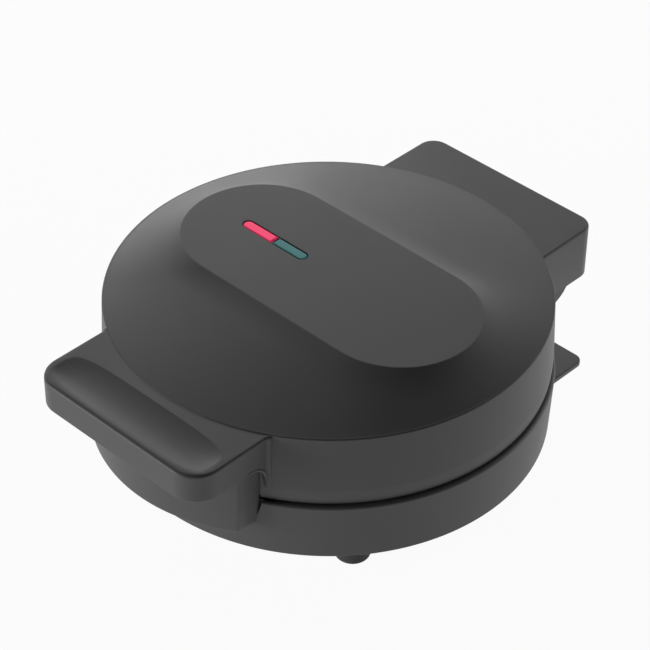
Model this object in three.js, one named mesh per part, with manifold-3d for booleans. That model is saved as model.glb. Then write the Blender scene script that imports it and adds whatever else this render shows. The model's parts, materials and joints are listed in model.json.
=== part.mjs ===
// Donut maker: a hinged appliance with two heated plates that bake seven rings at once.
// Millimetres, +Z up, standing on its feet at z = 0, front handle towards -Y.
import * as THREE from 'three';
import { mergeVertices } from 'three/addons/utils/BufferGeometryUtils.js';
import Module from 'manifold-3d';

const wasm = await Module();
wasm.setup();

// ---------------------------------------------------------------------------------------------
// Driving dimensions
// ---------------------------------------------------------------------------------------------

// Heights, stacked from the table up
const footHeight = 7;
const baseWallHeight = 31.5;
const partingGap = 1.5;
const lidWallHeight = 37.1;
const coneRise = 10.1;
const filletRise = 1.1;

// Round housings
const wall = 2.5;
const rimRadius = 107.5;
const lidFlare = 1.25;
const lipCurl = 3;
const lipHeight = 7;
const baseStep = 2.6;
const baseDraft = 1.3;
const baseBottomRound = 1;
const floorChamfer = 1.5;
const rimEdge = 0.8;

// Raised panel on the lid, with round ends
const panelHalfLength = 84.5;
const panelHalfWidth = 39.3;
const crownFillet = 13;

// Front handle
const handleHalfWidth = 54;
const handleLength = 31.3;
const handleThickness = 15.2;
const handleDrop = 0.5;
const handleCorner = 14;
const edgeRound = 0.8;
const skirtWall = 3;
const handleRoof = 2.6;
const skirtFillet = 10.5;
const skirtFlangeDepth = 1;
const gripRibWall = 1.8;
const gripRibPitch = 19;
const gripRibCount = 5;

// Finger scoop in the handle
const scoopHalfLength = 50.3;
const scoopFromRim = 5.2;
const scoopFromFront = 2;
const scoopDepth = 1.7;

// Front block of the base, which nests in the handle skirt
const frontBlockGap = 0.5;
const frontBlockSetback = 14.1;
const frontBlockFaceRadius = 90;
const frontBlockUnder = 20.5;
const frontBlockRoofGap = 3.8;
const drumClearance = 1;
const blockRibCount = 3;
const blockRibPitch = 24;

// Rear hinge block of the lid
const rearHalfWidth = 54.5;
const rearLength = 26.7;
const rearDrop = 2.1;
const rearCorner = 9;
const rearUnderAboveBase = 8;
const rearHeelRound = 6;
const rearWindowAboveHinge = 6;

// Hinge
const hingeFromBack = 13.2;
const hingeAboveBase = 15.5;
const pinRadius = 2;
const pinClearance = 0.3;
const pinChamfer = 0.5;
const earRadius = 8;
const earInner = 38;
const earWidth = 8;
const lugRadius = 7;
const lugWidth = 4;
const lugGap = 0.5;
const bracketBehindHinge = 1.3;
const bracketUnder = 12;
const bracketSlope = 1.5;
const bracketBend = 24;
const bracketHeel = 7.5;
const bracketHeelRise = 8;
const bracketTopBelowHinge = 9.5;

// Heel plate at the back of the base
const heelHalfWidth = 70;
const heelLength = 3.4;
const heelThickness = 3;
const heelTopAboveBase = 1;
const heelCorner = 5;

// Cooking plates
const plateLedge = 2.7;
const plateGap = 0.5;
const plateEdgeGap = 0.8;
const deckThickness = 3;
const plateSkirtDepth = 8;
const plateSkirtWall = 2.5;
const ringMargin = 13;
const ringSpacing = 4;
const ringTubeRadius = 10.5;
const castingWall = 2.5;
const ringsAround = 6;

// Plate screws, posts, straps and heating element
const plateScrewInset = 16;
const plateScrewAngles = [30, 150, 270];
const padRadius = 6.5;
const padDepth = 6;
const bossRadius = 4.5;
const screwRadius = 1.6;
const screwHeadRadius = 3.2;
const screwHeadHeight = 1.8;
const plateScrewLength = 15;
const postRadius = 3.5;
const elementRadius = 3.25;
const elementInset = 7;
const elementLeadSpacing = 10;
const elementLeadInset = 18;
const strapThickness = 1.2;
const strapGap = 0.6;
const strapWidth = 9;
const strapFoot = 6;

// Feet
const footRadius = 8.6;
const footInset = 10.8;
const footAngle = 39.2;
const footStemRadius = 2.5;
const footFlatShare = 0.45;
const footDome = 3;
const footBarb = 1.2;

// Indicator
const lensHalfWidth = 3.2;
const lensStart = -57;
const lensEnd = -14.8;
const lensFlange = 1.4;
const lensRecess = 0.4;
const lensFlangeThickness = 1.2;
const lampRadius = 2.8;
const lampLength = 13;
const holderDepth = 12;
const holderMargin = 3;
const holderWall = 1.2;
const holderTab = 2;
const holderTabDrop = 5;
const holderTabReach = 9;

// Cord inlet and cord clamp
const inletAboveBase = 13;
const inletRadius = 5;
const bushFlange = 2;
const bushBore = 3.6;
const bushLip = 3;
const cordClampSpread = 11;
const cordClampInset = 16;
const cordClampFoot = 3;
const cordClampWall = 2.4;
const cordClampHalfWidth = 4;
const cordClampBelowInlet = 3;

// Wireways, where the inner wires pass from the base to the lid
const wirewayHalfWidth = 12;
const wirewayFromHinge = 4;
const slotBelowRim = 2.6;
const slotHeight = 1.6;
const wirewayHeight = 8;

// Small screws and the bosses they go into
const seat = 0.3;
const smallScrewRadius = 1.2;
const smallHeadRadius = 2.4;
const smallHeadHeight = 1.5;
const smallScrewLength = 8;
const smallBossRadius = 4;

// Terminal block
const terminalSize = { x: 26, y: 12, z: 11 };
const terminalAngle = 57;
const terminalStand = 3;
const poleGap = 0.8;
const poleHoleRadius = 1.5;

// Thermostat and thermal fuse, on two of the posts behind the upper plate
const thermostatPost = 90;
const thermostatRadius = 8;
const thermostatNeck = 6.5;
const thermostatNoseGap = 0.7;
const thermostatCap = 6;
const thermostatBody = 3.5;
const bracketEnd = 5;
const fusePost = 210;
const fuseRadius = 2.4;
const fuseLength = 14;
const fuseScrewY = -9;
const clipThickness = 0.8;
const clipHalfWidth = 3;
const clipTail = 4;

// ---------------------------------------------------------------------------------------------
// Places worked out from the driving dimensions
// ---------------------------------------------------------------------------------------------

const baseZ = footHeight;
const baseTopZ = baseZ + baseWallHeight;
const lidBottomZ = baseTopZ + partingGap;
const baseTopRadius = rimRadius + baseStep;
const handleReach = rimRadius + handleLength;
const scoopRear = rimRadius + scoopFromRim;
const scoopFront = handleReach - scoopFromFront;
const frontBlockReach = handleReach - frontBlockSetback;
const rearReach = rimRadius + rearLength;
const hingeReach = rearReach - hingeFromBack;
const bracketReach = hingeReach + bracketBehindHinge;
const heelReach = baseTopRadius + heelLength;
const rimZ = lidBottomZ + lidWallHeight;
const panelZ = rimZ + coneRise + filletRise;
const floorTopZ = baseZ + wall;
const cookZ = (baseTopZ + lidBottomZ) / 2;
const lipRadius = rimRadius + lidFlare - lipCurl;
const rimInner = rimRadius - plateLedge;
const plateRadius = rimInner - plateEdgeGap;
const plateScrewCircle = plateRadius - plateScrewInset;
// Six rings touch the plate's margin and stand one spacing apart from each other.
const ringPitch = (plateRadius - ringMargin + ringSpacing / 2) / 1.5;
const ringCentreRadius = (ringPitch - ringSpacing) / 2 - ringTubeRadius;
const thermostatNose = ringCentreRadius - ringTubeRadius - castingWall - thermostatNoseGap;
const elementCircle = ringPitch - elementInset;
const elementLeadReach = plateRadius - elementLeadInset;
const footCircle = baseTopRadius - footInset;
const footX = footCircle * Math.cos(radians(footAngle));
const footY = footCircle * Math.sin(radians(footAngle));
const handleTopZ = rimZ - handleDrop;
const handleUnderZ = handleTopZ - handleThickness;
const rearTopZ = rimZ - rearDrop;
const hingeZ = baseTopZ + hingeAboveBase;
const drumY = (handleReach - rearReach) / 2;
const backDepth = ringTubeRadius + castingWall;
const gapCircle = ringPitch / Math.sqrt(3);
const strapDepth = backDepth + seat + elementRadius;
const outsideClearRadius = rimRadius + lidFlare + drumClearance;
const blockHalfWidth = handleHalfWidth - skirtWall - frontBlockGap;
const bracketHalfWidth = rearHalfWidth - skirtWall - 2 * frontBlockGap;
const inletZ = baseZ + inletAboveBase;
const inletWallY = baseTopRadius - baseDraft * (1 - inletAboveBase / baseWallHeight);
const pinLength = earWidth + 2 * lugGap + 1.5 * lugWidth - 2 * seat;
const terminalPlace = polar(plateScrewCircle, terminalAngle);
const cordClampZ = inletZ - cordClampBelowInlet;
const cordClampY = baseTopRadius - cordClampInset;
const cordScrewX = [-cordClampSpread, cordClampSpread];
const holderBossX = [lensStart - holderTabReach, lensEnd + holderTabReach];
const holderTopZ = panelZ - wall - lensFlangeThickness - 2 * seat;
const farBelow = -panelZ;
const farAbove = 2 * panelZ;
const roundSteps = 48;
const ringSteps = 14;
const backSteps = 10;
const deckSteps = 36;
const smallSteps = 12;
const tinySteps = 6;
const insideSteps = 24;

// ---------------------------------------------------------------------------------------------
// Finishes
// ---------------------------------------------------------------------------------------------

function finish(color, roughness, metalness) {
  return new THREE.MeshStandardMaterial({ color, roughness, metalness });
}

const finishes = {
  housing: finish(0x3a3a3c, 0.55, 0),
  plate: finish(0x2b2b2d, 0.4, 0.3),
  element: finish(0x5c5f5a, 0.45, 0.9),
  spring_steel: finish(0xb9bcc0, 0.35, 1),
  rubber: finish(0x1d1d1e, 0.9, 0),
  red_lens: finish(0xe85068, 0.25, 0),
  green_lens: finish(0x2f5f63, 0.25, 0),
  white_nylon: finish(0xe6e2d8, 0.5, 0),
  ceramic: finish(0xd9d4c6, 0.6, 0),
  lamp_glass: finish(0xf2a27a, 0.1, 0),
};

// ---------------------------------------------------------------------------------------------
// Solids: three.js shapes turned into closed bodies that can be joined and cut
// ---------------------------------------------------------------------------------------------

function signedVolume(positions, triangles) {
  const corner = [new THREE.Vector3(), new THREE.Vector3(), new THREE.Vector3()];
  let volume = 0;
  for (let i = 0; i < triangles.length; i += 3) {
    corner.forEach((point, k) => point.fromArray(positions, 3 * triangles[i + k]));
    volume += corner[0].dot(corner[1].cross(corner[2])) / 6;
  }
  return volume;
}

// A three.js geometry as a solid: shared corners merged, empty faces dropped, faces pointing out.
function solid(geometry) {
  const bare = geometry.clone();
  bare.deleteAttribute('normal');
  bare.deleteAttribute('uv');
  const merged = mergeVertices(bare, 1e-4);
  const positions = merged.attributes.position.array;
  const index = merged.index.array;
  const triangles = [];
  for (let i = 0; i < index.length; i += 3) {
    const [a, b, c] = [index[i], index[i + 1], index[i + 2]];
    if (a !== b && b !== c && c !== a) triangles.push(a, b, c);
  }
  if (signedVolume(positions, triangles) < 0) triangles.reverse();
  const mesh = new wasm.Mesh({
    numProp: 3,
    vertProperties: new Float32Array(positions),
    triVerts: new Uint32Array(triangles),
  });
  return new wasm.Manifold(mesh);
}

function geometryOf(body) {
  const mesh = body.getMesh();
  const geometry = new THREE.BufferGeometry();
  const corners = new Float32Array(mesh.vertProperties);
  geometry.setAttribute('position', new THREE.BufferAttribute(corners, 3));
  geometry.setIndex(new THREE.BufferAttribute(new Uint32Array(mesh.triVerts), 1));
  geometry.computeVertexNormals();
  return geometry;
}

function joined(bodies) {
  return bodies.reduce((sum, body) => sum.add(body));
}

// A body of revolution about the vertical axis, from (radius, height) points.
function turned(profile, steps = roundSteps) {
  const points = profile.map(([radius, height]) => new THREE.Vector2(radius, height));
  return solid(new THREE.LatheGeometry(points, steps).rotateX(Math.PI / 2));
}

function cylinder(radius, bottom, top, x = 0, y = 0, steps = smallSteps) {
  return turned([[0, bottom], [radius, bottom], [radius, top], [0, top]], steps).translate([x, y, 0]);
}

// A flat outline raised from one height to another, with an optional edge bevel on both ends.
function raised(shape, bottom, top, bevel = 0, curveSegments = 6) {
  const geometry = new THREE.ExtrudeGeometry(shape, {
    depth: top - bottom - 2 * bevel,
    bevelEnabled: bevel > 0,
    bevelThickness: bevel,
    bevelSize: bevel,
    bevelOffset: -bevel,
    bevelSegments: 1,
    curveSegments,
  });
  return solid(geometry.translate(0, 0, bottom + bevel));
}

// A side outline drawn in (y, z), carried along X from one place to another.
function sideProfile(shape, from, to, curveSegments = 8) {
  const geometry = new THREE.ExtrudeGeometry(shape, {
    depth: to - from,
    bevelEnabled: false,
    curveSegments,
  });
  const standing = new THREE.Matrix4().makeBasis(
    new THREE.Vector3(0, 1, 0),
    new THREE.Vector3(0, 0, 1),
    new THREE.Vector3(1, 0, 0),
  );
  return solid(geometry.applyMatrix4(standing).translate(from, 0, 0));
}

function block(xMin, xMax, yMin, yMax, zMin, zMax) {
  const box = new THREE.BoxGeometry(xMax - xMin, yMax - yMin, zMax - zMin);
  return solid(box.translate((xMin + xMax) / 2, (yMin + yMax) / 2, (zMin + zMax) / 2));
}

// A rectangle whose corners at the far end (in y) are round.
function tongue(halfWidth, near, far, radius) {
  const side = Math.sign(far - near);
  const shape = new THREE.Shape();
  shape.moveTo(-halfWidth, near);
  shape.lineTo(-halfWidth, far - side * radius);
  const turn = side > 0 ? [Math.PI, Math.PI / 2, true] : [Math.PI, 1.5 * Math.PI, false];
  shape.absarc(-halfWidth + radius, far - side * radius, radius, ...turn);
  const back = side > 0 ? [Math.PI / 2, 0, true] : [1.5 * Math.PI, 2 * Math.PI, false];
  shape.absarc(halfWidth - radius, far - side * radius, radius, ...back);
  shape.lineTo(halfWidth, near);
  return shape;
}

// A closed body through rings, from one end point to the other.
// Each ring gives [x, y, z] for a direction.
function lofted(start, rings, end, steps = roundSteps) {
  const positions = [...start];
  for (const ring of rings) {
    for (let k = 0; k < steps; k++) positions.push(...ring((2 * Math.PI * k) / steps));
  }
  positions.push(...end);
  const last = positions.length / 3 - 1;
  const at = (ring, k) => 1 + ring * steps + (k % steps);
  const index = [];
  for (let k = 0; k < steps; k++) {
    index.push(0, at(0, k + 1), at(0, k));
    for (let ring = 0; ring + 1 < rings.length; ring++) {
      index.push(at(ring, k), at(ring, k + 1), at(ring + 1, k + 1));
      index.push(at(ring, k), at(ring + 1, k + 1), at(ring + 1, k));
    }
    index.push(last, at(rings.length - 1, k), at(rings.length - 1, k + 1));
  }
  const geometry = new THREE.BufferGeometry();
  geometry.setAttribute('position', new THREE.Float32BufferAttribute(positions, 3));
  geometry.setIndex(index);
  return solid(geometry);
}

// A hole for a small screw.
function smallHole(bottom, top, x, y) {
  return cylinder(smallScrewRadius + seat, bottom, top, x, y, tinySteps);
}

function radians(degrees) {
  return THREE.MathUtils.degToRad(degrees);
}

function polar(radius, degrees) {
  return [radius * Math.cos(radians(degrees)), radius * Math.sin(radians(degrees))];
}

function part(name, body, material) {
  const mesh = new THREE.Mesh(geometryOf(body), material);
  mesh.name = name;
  return mesh;
}

// ---------------------------------------------------------------------------------------------
// Lid housing
// ---------------------------------------------------------------------------------------------

// Distance from the axis to the edge of the round-ended panel in a given direction.
function panelEdge(angle, inset) {
  const halfWidth = panelHalfWidth - inset;
  const endCentre = panelHalfLength - panelHalfWidth;
  const across = Math.abs(Math.sin(angle));
  const along = Math.abs(Math.cos(angle));
  const sideHit = halfWidth / Math.max(across, 1e-9);
  if (sideHit * along <= endCentre) return sideHit;
  return endCentre * along + Math.sqrt(halfWidth ** 2 - (endCentre * across) ** 2);
}

// The drum, lip, crown and panel of the lid as one filled form, drawn in by an inset.
// The crown is a low cone from the round rim to the panel, hollowed where it meets the panel.
function lidForm(inset, lipSteps = [0, 0.35, 0.7], filletSteps = [1, 0.6, 0.3, 0.1], steps = roundSteps) {
  const circle = (radius, z) => (angle) => [radius * Math.cos(angle), radius * Math.sin(angle), z];
  const lipTopZ = lidBottomZ + lipHeight;
  const rings = [];
  for (const step of lipSteps) {
    const swing = (step * Math.PI) / 2;
    const radius = lipRadius + lipCurl * Math.sin(swing) - inset;
    rings.push(circle(radius, lipTopZ - lipHeight * Math.cos(swing)));
  }
  rings.push(circle(rimRadius + lidFlare - inset, lipTopZ));
  rings.push(circle(rimRadius - inset, rimZ - rimEdge - inset));
  const coneRadius = rimRadius - rimEdge - inset;
  rings.push(circle(coneRadius, rimZ - inset));
  const fillet = Math.min(crownFillet, 0.6 * (coneRadius - panelHalfLength));
  for (const step of filletSteps) {
    rings.push((angle) => {
      const radius = panelEdge(angle, -step * fillet);
      const climb = (coneRadius - radius) / (coneRadius - panelEdge(angle, 0));
      const z = rimZ - inset + coneRise * climb + filletRise * (1 - step) ** 2;
      return [radius * Math.cos(angle), radius * Math.sin(angle), z];
    });
  }
  rings.push((angle) => {
    const radius = panelEdge(angle, rimEdge / 2);
    return [radius * Math.cos(angle), radius * Math.sin(angle), panelZ - inset];
  });
  return lofted([0, 0, lidBottomZ], rings, [0, 0, panelZ - inset], steps);
}

// A shallow hollow: round across its width, and falling quickly at its two ends.
function scoopCutter() {
  const middle = -(scoopRear + scoopFront) / 2;
  const halfWidth = (scoopFront - scoopRear) / 2;
  const squareness = 4.5;
  const endSteepness = 7;
  const bend = (value) => Math.sign(value) * Math.abs(value) ** (2 / squareness);
  const ring = (size, liftZ) => (angle) => {
    const along = Math.abs(size * bend(Math.cos(angle)));
    const across = size * bend(Math.sin(angle));
    const edge = Math.max(1e-3, 1 - along ** squareness) ** (1 / squareness);
    const share = Math.max(0, 1 - (across / edge) ** 2);
    const depth = liftZ ?? -scoopDepth * share * (1 - along ** endSteepness);
    return [Math.sign(Math.cos(angle)) * along * scoopHalfLength, middle + across * halfWidth,
      handleTopZ + depth];
  };
  const rings = [0.3, 0.6, 0.8, 0.93, 1].map((size) => ring(size));
  rings.push(ring(1, 3));
  return lofted([0, middle, handleTopZ - scoopDepth], rings, [0, middle, handleTopZ + 3], 40);
}

function handleOutside() {
  const grip = raised(tongue(handleHalfWidth, 0, -handleReach, handleCorner),
    handleUnderZ, handleTopZ, edgeRound);
  // Each side of the skirt turns down beside the drum in a rounded arch.
  const drumSide = -Math.sqrt((rimRadius + lidFlare) ** 2 - handleHalfWidth ** 2);
  const archY = drumSide - skirtFlangeDepth;
  const arch = new THREE.Shape();
  arch.moveTo(0, handleUnderZ + edgeRound);
  arch.lineTo(archY - skirtFillet, handleUnderZ + edgeRound);
  arch.lineTo(archY - skirtFillet, handleUnderZ);
  arch.absarc(archY - skirtFillet, handleUnderZ - skirtFillet, skirtFillet, Math.PI / 2, 0, true);
  arch.lineTo(archY + 1, lidBottomZ + lipHeight);
  arch.lineTo(0, lidBottomZ + lipHeight);
  const flanges = [-1, 1].map((side) => {
    const ends = [side * handleHalfWidth, side * (handleHalfWidth - skirtWall)].sort((a, b) => a - b);
    return sideProfile(arch, ...ends, tinySteps);
  });
  return joined([grip, ...flanges]);
}

function handlePocket() {
  const innerHalfWidth = handleHalfWidth - skirtWall;
  const innerReach = handleReach - skirtWall;
  const inner = tongue(innerHalfWidth, 0, -innerReach, handleCorner - skirtWall);
  const roofZ = handleTopZ - scoopDepth - handleRoof;
  const ribs = [];
  for (let k = 0; k < gripRibCount; k++) {
    const x = (k - (gripRibCount - 1) / 2) * gripRibPitch;
    ribs.push(block(x - gripRibWall / 2, x + gripRibWall / 2,
      -handleReach, -(frontBlockReach + drumClearance), handleUnderZ + edgeRound, farAbove));
  }
  return raised(inner, lidBottomZ, roofZ).subtract(joined(ribs));
}

function rearOutside() {
  const plan = raised(tongue(rearHalfWidth, 0, rearReach, rearCorner), farBelow, rearTopZ, edgeRound);
  const underZ = baseTopZ + rearUnderAboveBase;
  const side = new THREE.Shape();
  side.moveTo(0, farAbove);
  side.lineTo(0, underZ);
  side.lineTo(rearReach - rearHeelRound, underZ);
  side.absarc(rearReach - rearHeelRound, underZ + rearHeelRound, rearHeelRound, -Math.PI / 2, 0, false);
  side.lineTo(rearReach, farAbove);
  return plan.intersect(sideProfile(side, -rearHalfWidth, rearHalfWidth));
}

function rearPocket() {
  const inner = tongue(rearHalfWidth - skirtWall, 0, rearReach - skirtWall, rearCorner - skirtWall);
  const pocket = raised(inner, farBelow, rearTopZ - skirtWall);
  const windowHalfWidth = rearHalfWidth - skirtWall;
  const window = block(-windowHalfWidth, windowHalfWidth, hingeReach, rearReach + 1,
    farBelow, hingeZ + rearWindowAboveHinge);
  return pocket.add(window);
}

// Hinge lugs hang from the roof of the rear block, one on each side of both ears of the base.
function hingeLugs() {
  const lug = new THREE.Shape();
  lug.absarc(hingeReach, hingeZ, lugRadius, Math.PI, 2 * Math.PI, false);
  lug.lineTo(hingeReach + lugRadius, rearTopZ - skirtWall / 2);
  lug.lineTo(hingeReach - lugRadius, rearTopZ - skirtWall / 2);
  const starts = [earInner - lugGap - lugWidth, earInner + earWidth + lugGap];
  const lugs = [];
  for (const start of starts) {
    lugs.push(sideProfile(lug, start, start + lugWidth));
    lugs.push(sideProfile(lug, -start - lugWidth, -start));
  }
  return joined(lugs);
}

function pinHoles(outerEnd) {
  const hole = new THREE.Shape();
  hole.absarc(hingeReach, hingeZ, pinRadius + pinClearance, 0, 2 * Math.PI, false);
  return sideProfile(hole, -outerEnd, outerEnd, 8);
}

function lensSlotShape(clearance) {
  const radius = lensHalfWidth + clearance;
  const shape = new THREE.Shape();
  shape.absarc(lensStart + lensHalfWidth, 0, radius, Math.PI / 2, 1.5 * Math.PI, false);
  shape.absarc(lensEnd - lensHalfWidth, 0, radius, -Math.PI / 2, Math.PI / 2, false);
  return shape;
}

function lidHousing() {
  const insideFillet = [1, 0.3];
  const outside = lidForm(0);
  const handleBlank = handleOutside().add(rearOutside());
  const core = turned([[0, farBelow], [rimRadius - rimEdge, farBelow], [rimRadius - rimEdge, farAbove],
    [0, farAbove]]);
  const pockets = handlePocket().add(rearPocket());
  const drumKeep = turned([[0, farBelow], [rimRadius + lidFlare / 2, farBelow],
    [rimRadius + lidFlare / 2, farAbove], [0, farAbove]]);
  const mouldings = handleBlank.subtract(pockets.subtract(drumKeep)).subtract(core);
  const insideMouth = turned([[0, farBelow], [rimInner, farBelow], [rimInner, lidBottomZ + wall],
    [0, lidBottomZ + wall]]);
  const inside = lidForm(wall, [0.5], insideFillet, insideSteps).subtract(block(-rimRadius, rimRadius,
    -rimRadius, rimRadius, farBelow, lidBottomZ + wall)).add(insideMouth);
  const bosses = [];
  for (const angle of plateScrewAngles) {
    const bottom = cookZ + plateGap / 2 + padDepth + seat;
    bosses.push(cylinder(bossRadius, bottom, farAbove, ...polar(plateScrewCircle, angle)));
  }
  for (const x of holderBossX) {
    bosses.push(cylinder(smallBossRadius, holderTopZ - holderTabDrop + seat, farAbove, x, 0));
  }
  const bossesInside = joined(bosses).intersect(lidForm(wall / 2, [0], insideFillet, insideSteps));
  const holes = [];
  for (const angle of plateScrewAngles) {
    const bottom = cookZ + plateGap / 2 + padDepth;
    const holeTop = bottom + plateScrewLength - padDepth / 3;
    holes.push(cylinder(screwRadius + seat, bottom, holeTop, ...polar(plateScrewCircle, angle)));
  }
  for (const x of holderBossX) {
    holes.push(smallHole(holderTopZ - holderDepth, panelZ - wall + 1, x, 0));
  }
  const wireway = block(-wirewayHalfWidth, wirewayHalfWidth, rimRadius - 2 * wall,
    hingeReach - wirewayFromHinge, hingeZ + 2 * pinRadius, hingeZ + 2 * pinRadius + wirewayHeight);
  return outside
    .subtract(inside)
    .add(mouldings)
    .add(hingeLugs())
    .add(bossesInside)
    .subtract(scoopCutter())
    .subtract(raised(lensSlotShape(0), panelZ - 2 * wall, farAbove))
    .subtract(joined(holes))
    .subtract(wireway)
    .subtract(pinHoles(earInner + earWidth + lugGap + lugWidth / 2));
}

// ---------------------------------------------------------------------------------------------
// Base housing
// ---------------------------------------------------------------------------------------------

// Keeps mouldings on the outside of the drum: in the wall low down, clear of the lid above.
function drumCutter(extra) {
  const inWall = baseTopRadius - wall / 2 + extra;
  const clear = outsideClearRadius + extra;
  return turned([[0, farBelow], [inWall, farBelow], [inWall, baseTopZ], [clear, baseTopZ],
    [clear, farAbove], [0, farAbove]]);
}

function frontBlockShape(inset) {
  const halfWidth = blockHalfWidth - inset;
  const faceRadius = frontBlockFaceRadius - inset;
  const faceCentreY = -frontBlockReach + frontBlockFaceRadius;
  const spread = Math.asin(halfWidth / faceRadius);
  const shape = new THREE.Shape();
  shape.moveTo(-halfWidth, 0);
  shape.absarc(0, faceCentreY, faceRadius, -Math.PI / 2 - spread, -Math.PI / 2 + spread, false);
  shape.lineTo(halfWidth, 0);
  return shape;
}

function frontBlock() {
  const underZ = baseZ + frontBlockUnder;
  const roofZ = handleTopZ - scoopDepth - handleRoof - frontBlockRoofGap;
  const outside = raised(frontBlockShape(0), underZ, roofZ, edgeRound, 12).subtract(drumCutter(0));
  const ribs = [];
  for (let k = 0; k < blockRibCount; k++) {
    const x = (k - (blockRibCount - 1) / 2) * blockRibPitch;
    ribs.push(block(x - wall / 2, x + wall / 2, -handleReach, 0, farBelow, farAbove));
  }
  const hollow = raised(frontBlockShape(wall), farBelow, roofZ - wall, 0, 12)
    .subtract(drumCutter(wall))
    .subtract(joined(ribs));
  return outside.subtract(hollow);
}

function bracketShape(inset) {
  const topZ = hingeZ - bracketTopBelowHinge + 4 * inset;
  const shape = new THREE.Shape();
  const underZ = baseTopZ + inset - bracketUnder;
  shape.moveTo(0, underZ);
  shape.lineTo(hingeReach - bracketBend, underZ + bracketSlope);
  shape.lineTo(hingeReach - bracketHeel, underZ + bracketHeelRise);
  shape.quadraticCurveTo(bracketReach - inset, baseTopZ + inset, bracketReach - inset, topZ);
  shape.lineTo(0, topZ);
  return shape;
}

function rearBracket() {
  const outside = sideProfile(bracketShape(0), -bracketHalfWidth, bracketHalfWidth)
    .subtract(drumCutter(0));
  const hollow = sideProfile(bracketShape(wall), -bracketHalfWidth + wall, bracketHalfWidth - wall)
    .subtract(drumCutter(wall));
  const ear = new THREE.Shape();
  ear.moveTo(hingeReach - earRadius, hingeZ - bracketTopBelowHinge - wall);
  ear.lineTo(bracketReach - 0.5, hingeZ - bracketTopBelowHinge - wall);
  ear.absarc(hingeReach, hingeZ, earRadius, radians(-50), Math.PI, false);
  const ears = [-earInner - earWidth, earInner].map((x) => sideProfile(ear, x, x + earWidth));
  return joined([outside.subtract(hollow), ...ears]);
}

function baseHousing() {
  const bottomRadius = baseTopRadius - baseDraft;
  const profile = [[0, baseZ], [bottomRadius - baseBottomRound, baseZ]];
  for (const step of [0.5, 1]) {
    const swing = (step * Math.PI) / 2;
    const radius = bottomRadius - baseBottomRound * (1 - Math.sin(swing));
    profile.push([radius, baseZ + baseBottomRound * (1 - Math.cos(swing))]);
  }
  profile.push([baseTopRadius, baseTopZ - rimEdge], [baseTopRadius - rimEdge, baseTopZ]);
  profile.push([rimInner, baseTopZ], [rimInner, baseTopZ - wall]);
  profile.push([baseTopRadius - wall, baseTopZ - wall]);
  profile.push([bottomRadius - wall, floorTopZ + floorChamfer]);
  profile.push([bottomRadius - wall - floorChamfer, floorTopZ], [0, floorTopZ]);
  const bowl = turned(profile);
  const heelTopZ = baseZ + heelTopAboveBase;
  const heelShape = tongue(heelHalfWidth, footY + footRadius + wall, heelReach, heelCorner);
  const heel = raised(heelShape, heelTopZ - heelThickness, heelTopZ, 0, 5);
  const bosses = plateScrewAngles.map((angle) => cylinder(bossRadius, baseZ + wall / 2,
    cookZ - plateGap / 2 - padDepth - seat, ...polar(plateScrewCircle, angle)));
  bosses.push(cylinder(smallBossRadius, baseZ + wall / 2, floorTopZ + terminalStand,
    ...terminalPlace));
  for (const x of cordScrewX) {
    bosses.push(cylinder(smallBossRadius, baseZ + wall / 2, cordClampZ - seat, x, cordClampY));
  }
  const holeBottom = cookZ - plateGap / 2 - plateScrewLength - padDepth / 2 - seat;
  const holes = plateScrewAngles.map((angle) => cylinder(screwRadius + seat, holeBottom, cookZ,
    ...polar(plateScrewCircle, angle)));
  for (const x of [-footX, footX]) {
    for (const y of [-footY, footY]) {
      holes.push(cylinder(footStemRadius + seat, farBelow, floorTopZ + 1, x, y));
    }
  }
  const screwFloor = floorTopZ - 1;
  holes.push(smallHole(screwFloor, floorTopZ + 2 * terminalStand, ...terminalPlace));
  for (const x of cordScrewX) holes.push(smallHole(screwFloor, cordClampZ + 1, x, cordClampY));
  const inletShape = new THREE.Shape();
  inletShape.absarc(0, 0, inletRadius + seat, 0, 2 * Math.PI, false);
  const inlet = raised(inletShape, -4 * wall, 4 * wall).rotate([-90, 0, 0])
    .translate([0, inletWallY, inletZ]);
  // Under the closed rim a slot lets the wires through to the bracket.
  const wireway = block(-wirewayHalfWidth, wirewayHalfWidth, rimInner - wall,
    outsideClearRadius + 2 * wall, baseTopZ - slotBelowRim - slotHeight, baseTopZ - slotBelowRim);
  return joined([bowl, heel, frontBlock(), rearBracket(), ...bosses])
    .subtract(joined(holes))
    .subtract(inlet)
    .subtract(wireway)
    .subtract(pinHoles(earInner + earWidth + 1));
}

// ---------------------------------------------------------------------------------------------
// Cooking plates with what is fastened to their backs. The cooking face is at z = 0, facing +Z.
// ---------------------------------------------------------------------------------------------

function ringCentres() {
  const centres = [[0, 0]];
  for (let k = 0; k < ringsAround; k++) centres.push(polar(ringPitch, (360 * k) / ringsAround));
  return centres;
}

// The lower half of a ring round the vertical axis, closed across at the given height.
function halfRing(tubeRadius, closeZ, around, across) {
  const profile = [[ringCentreRadius - tubeRadius, closeZ]];
  for (let k = 0; k <= across; k++) {
    const swing = Math.PI + (Math.PI * k) / across;
    profile.push([ringCentreRadius + tubeRadius * Math.cos(swing), tubeRadius * Math.sin(swing)]);
  }
  profile.push([ringCentreRadius + tubeRadius, closeZ], [ringCentreRadius - tubeRadius, closeZ]);
  return turned(profile, around);
}

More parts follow.
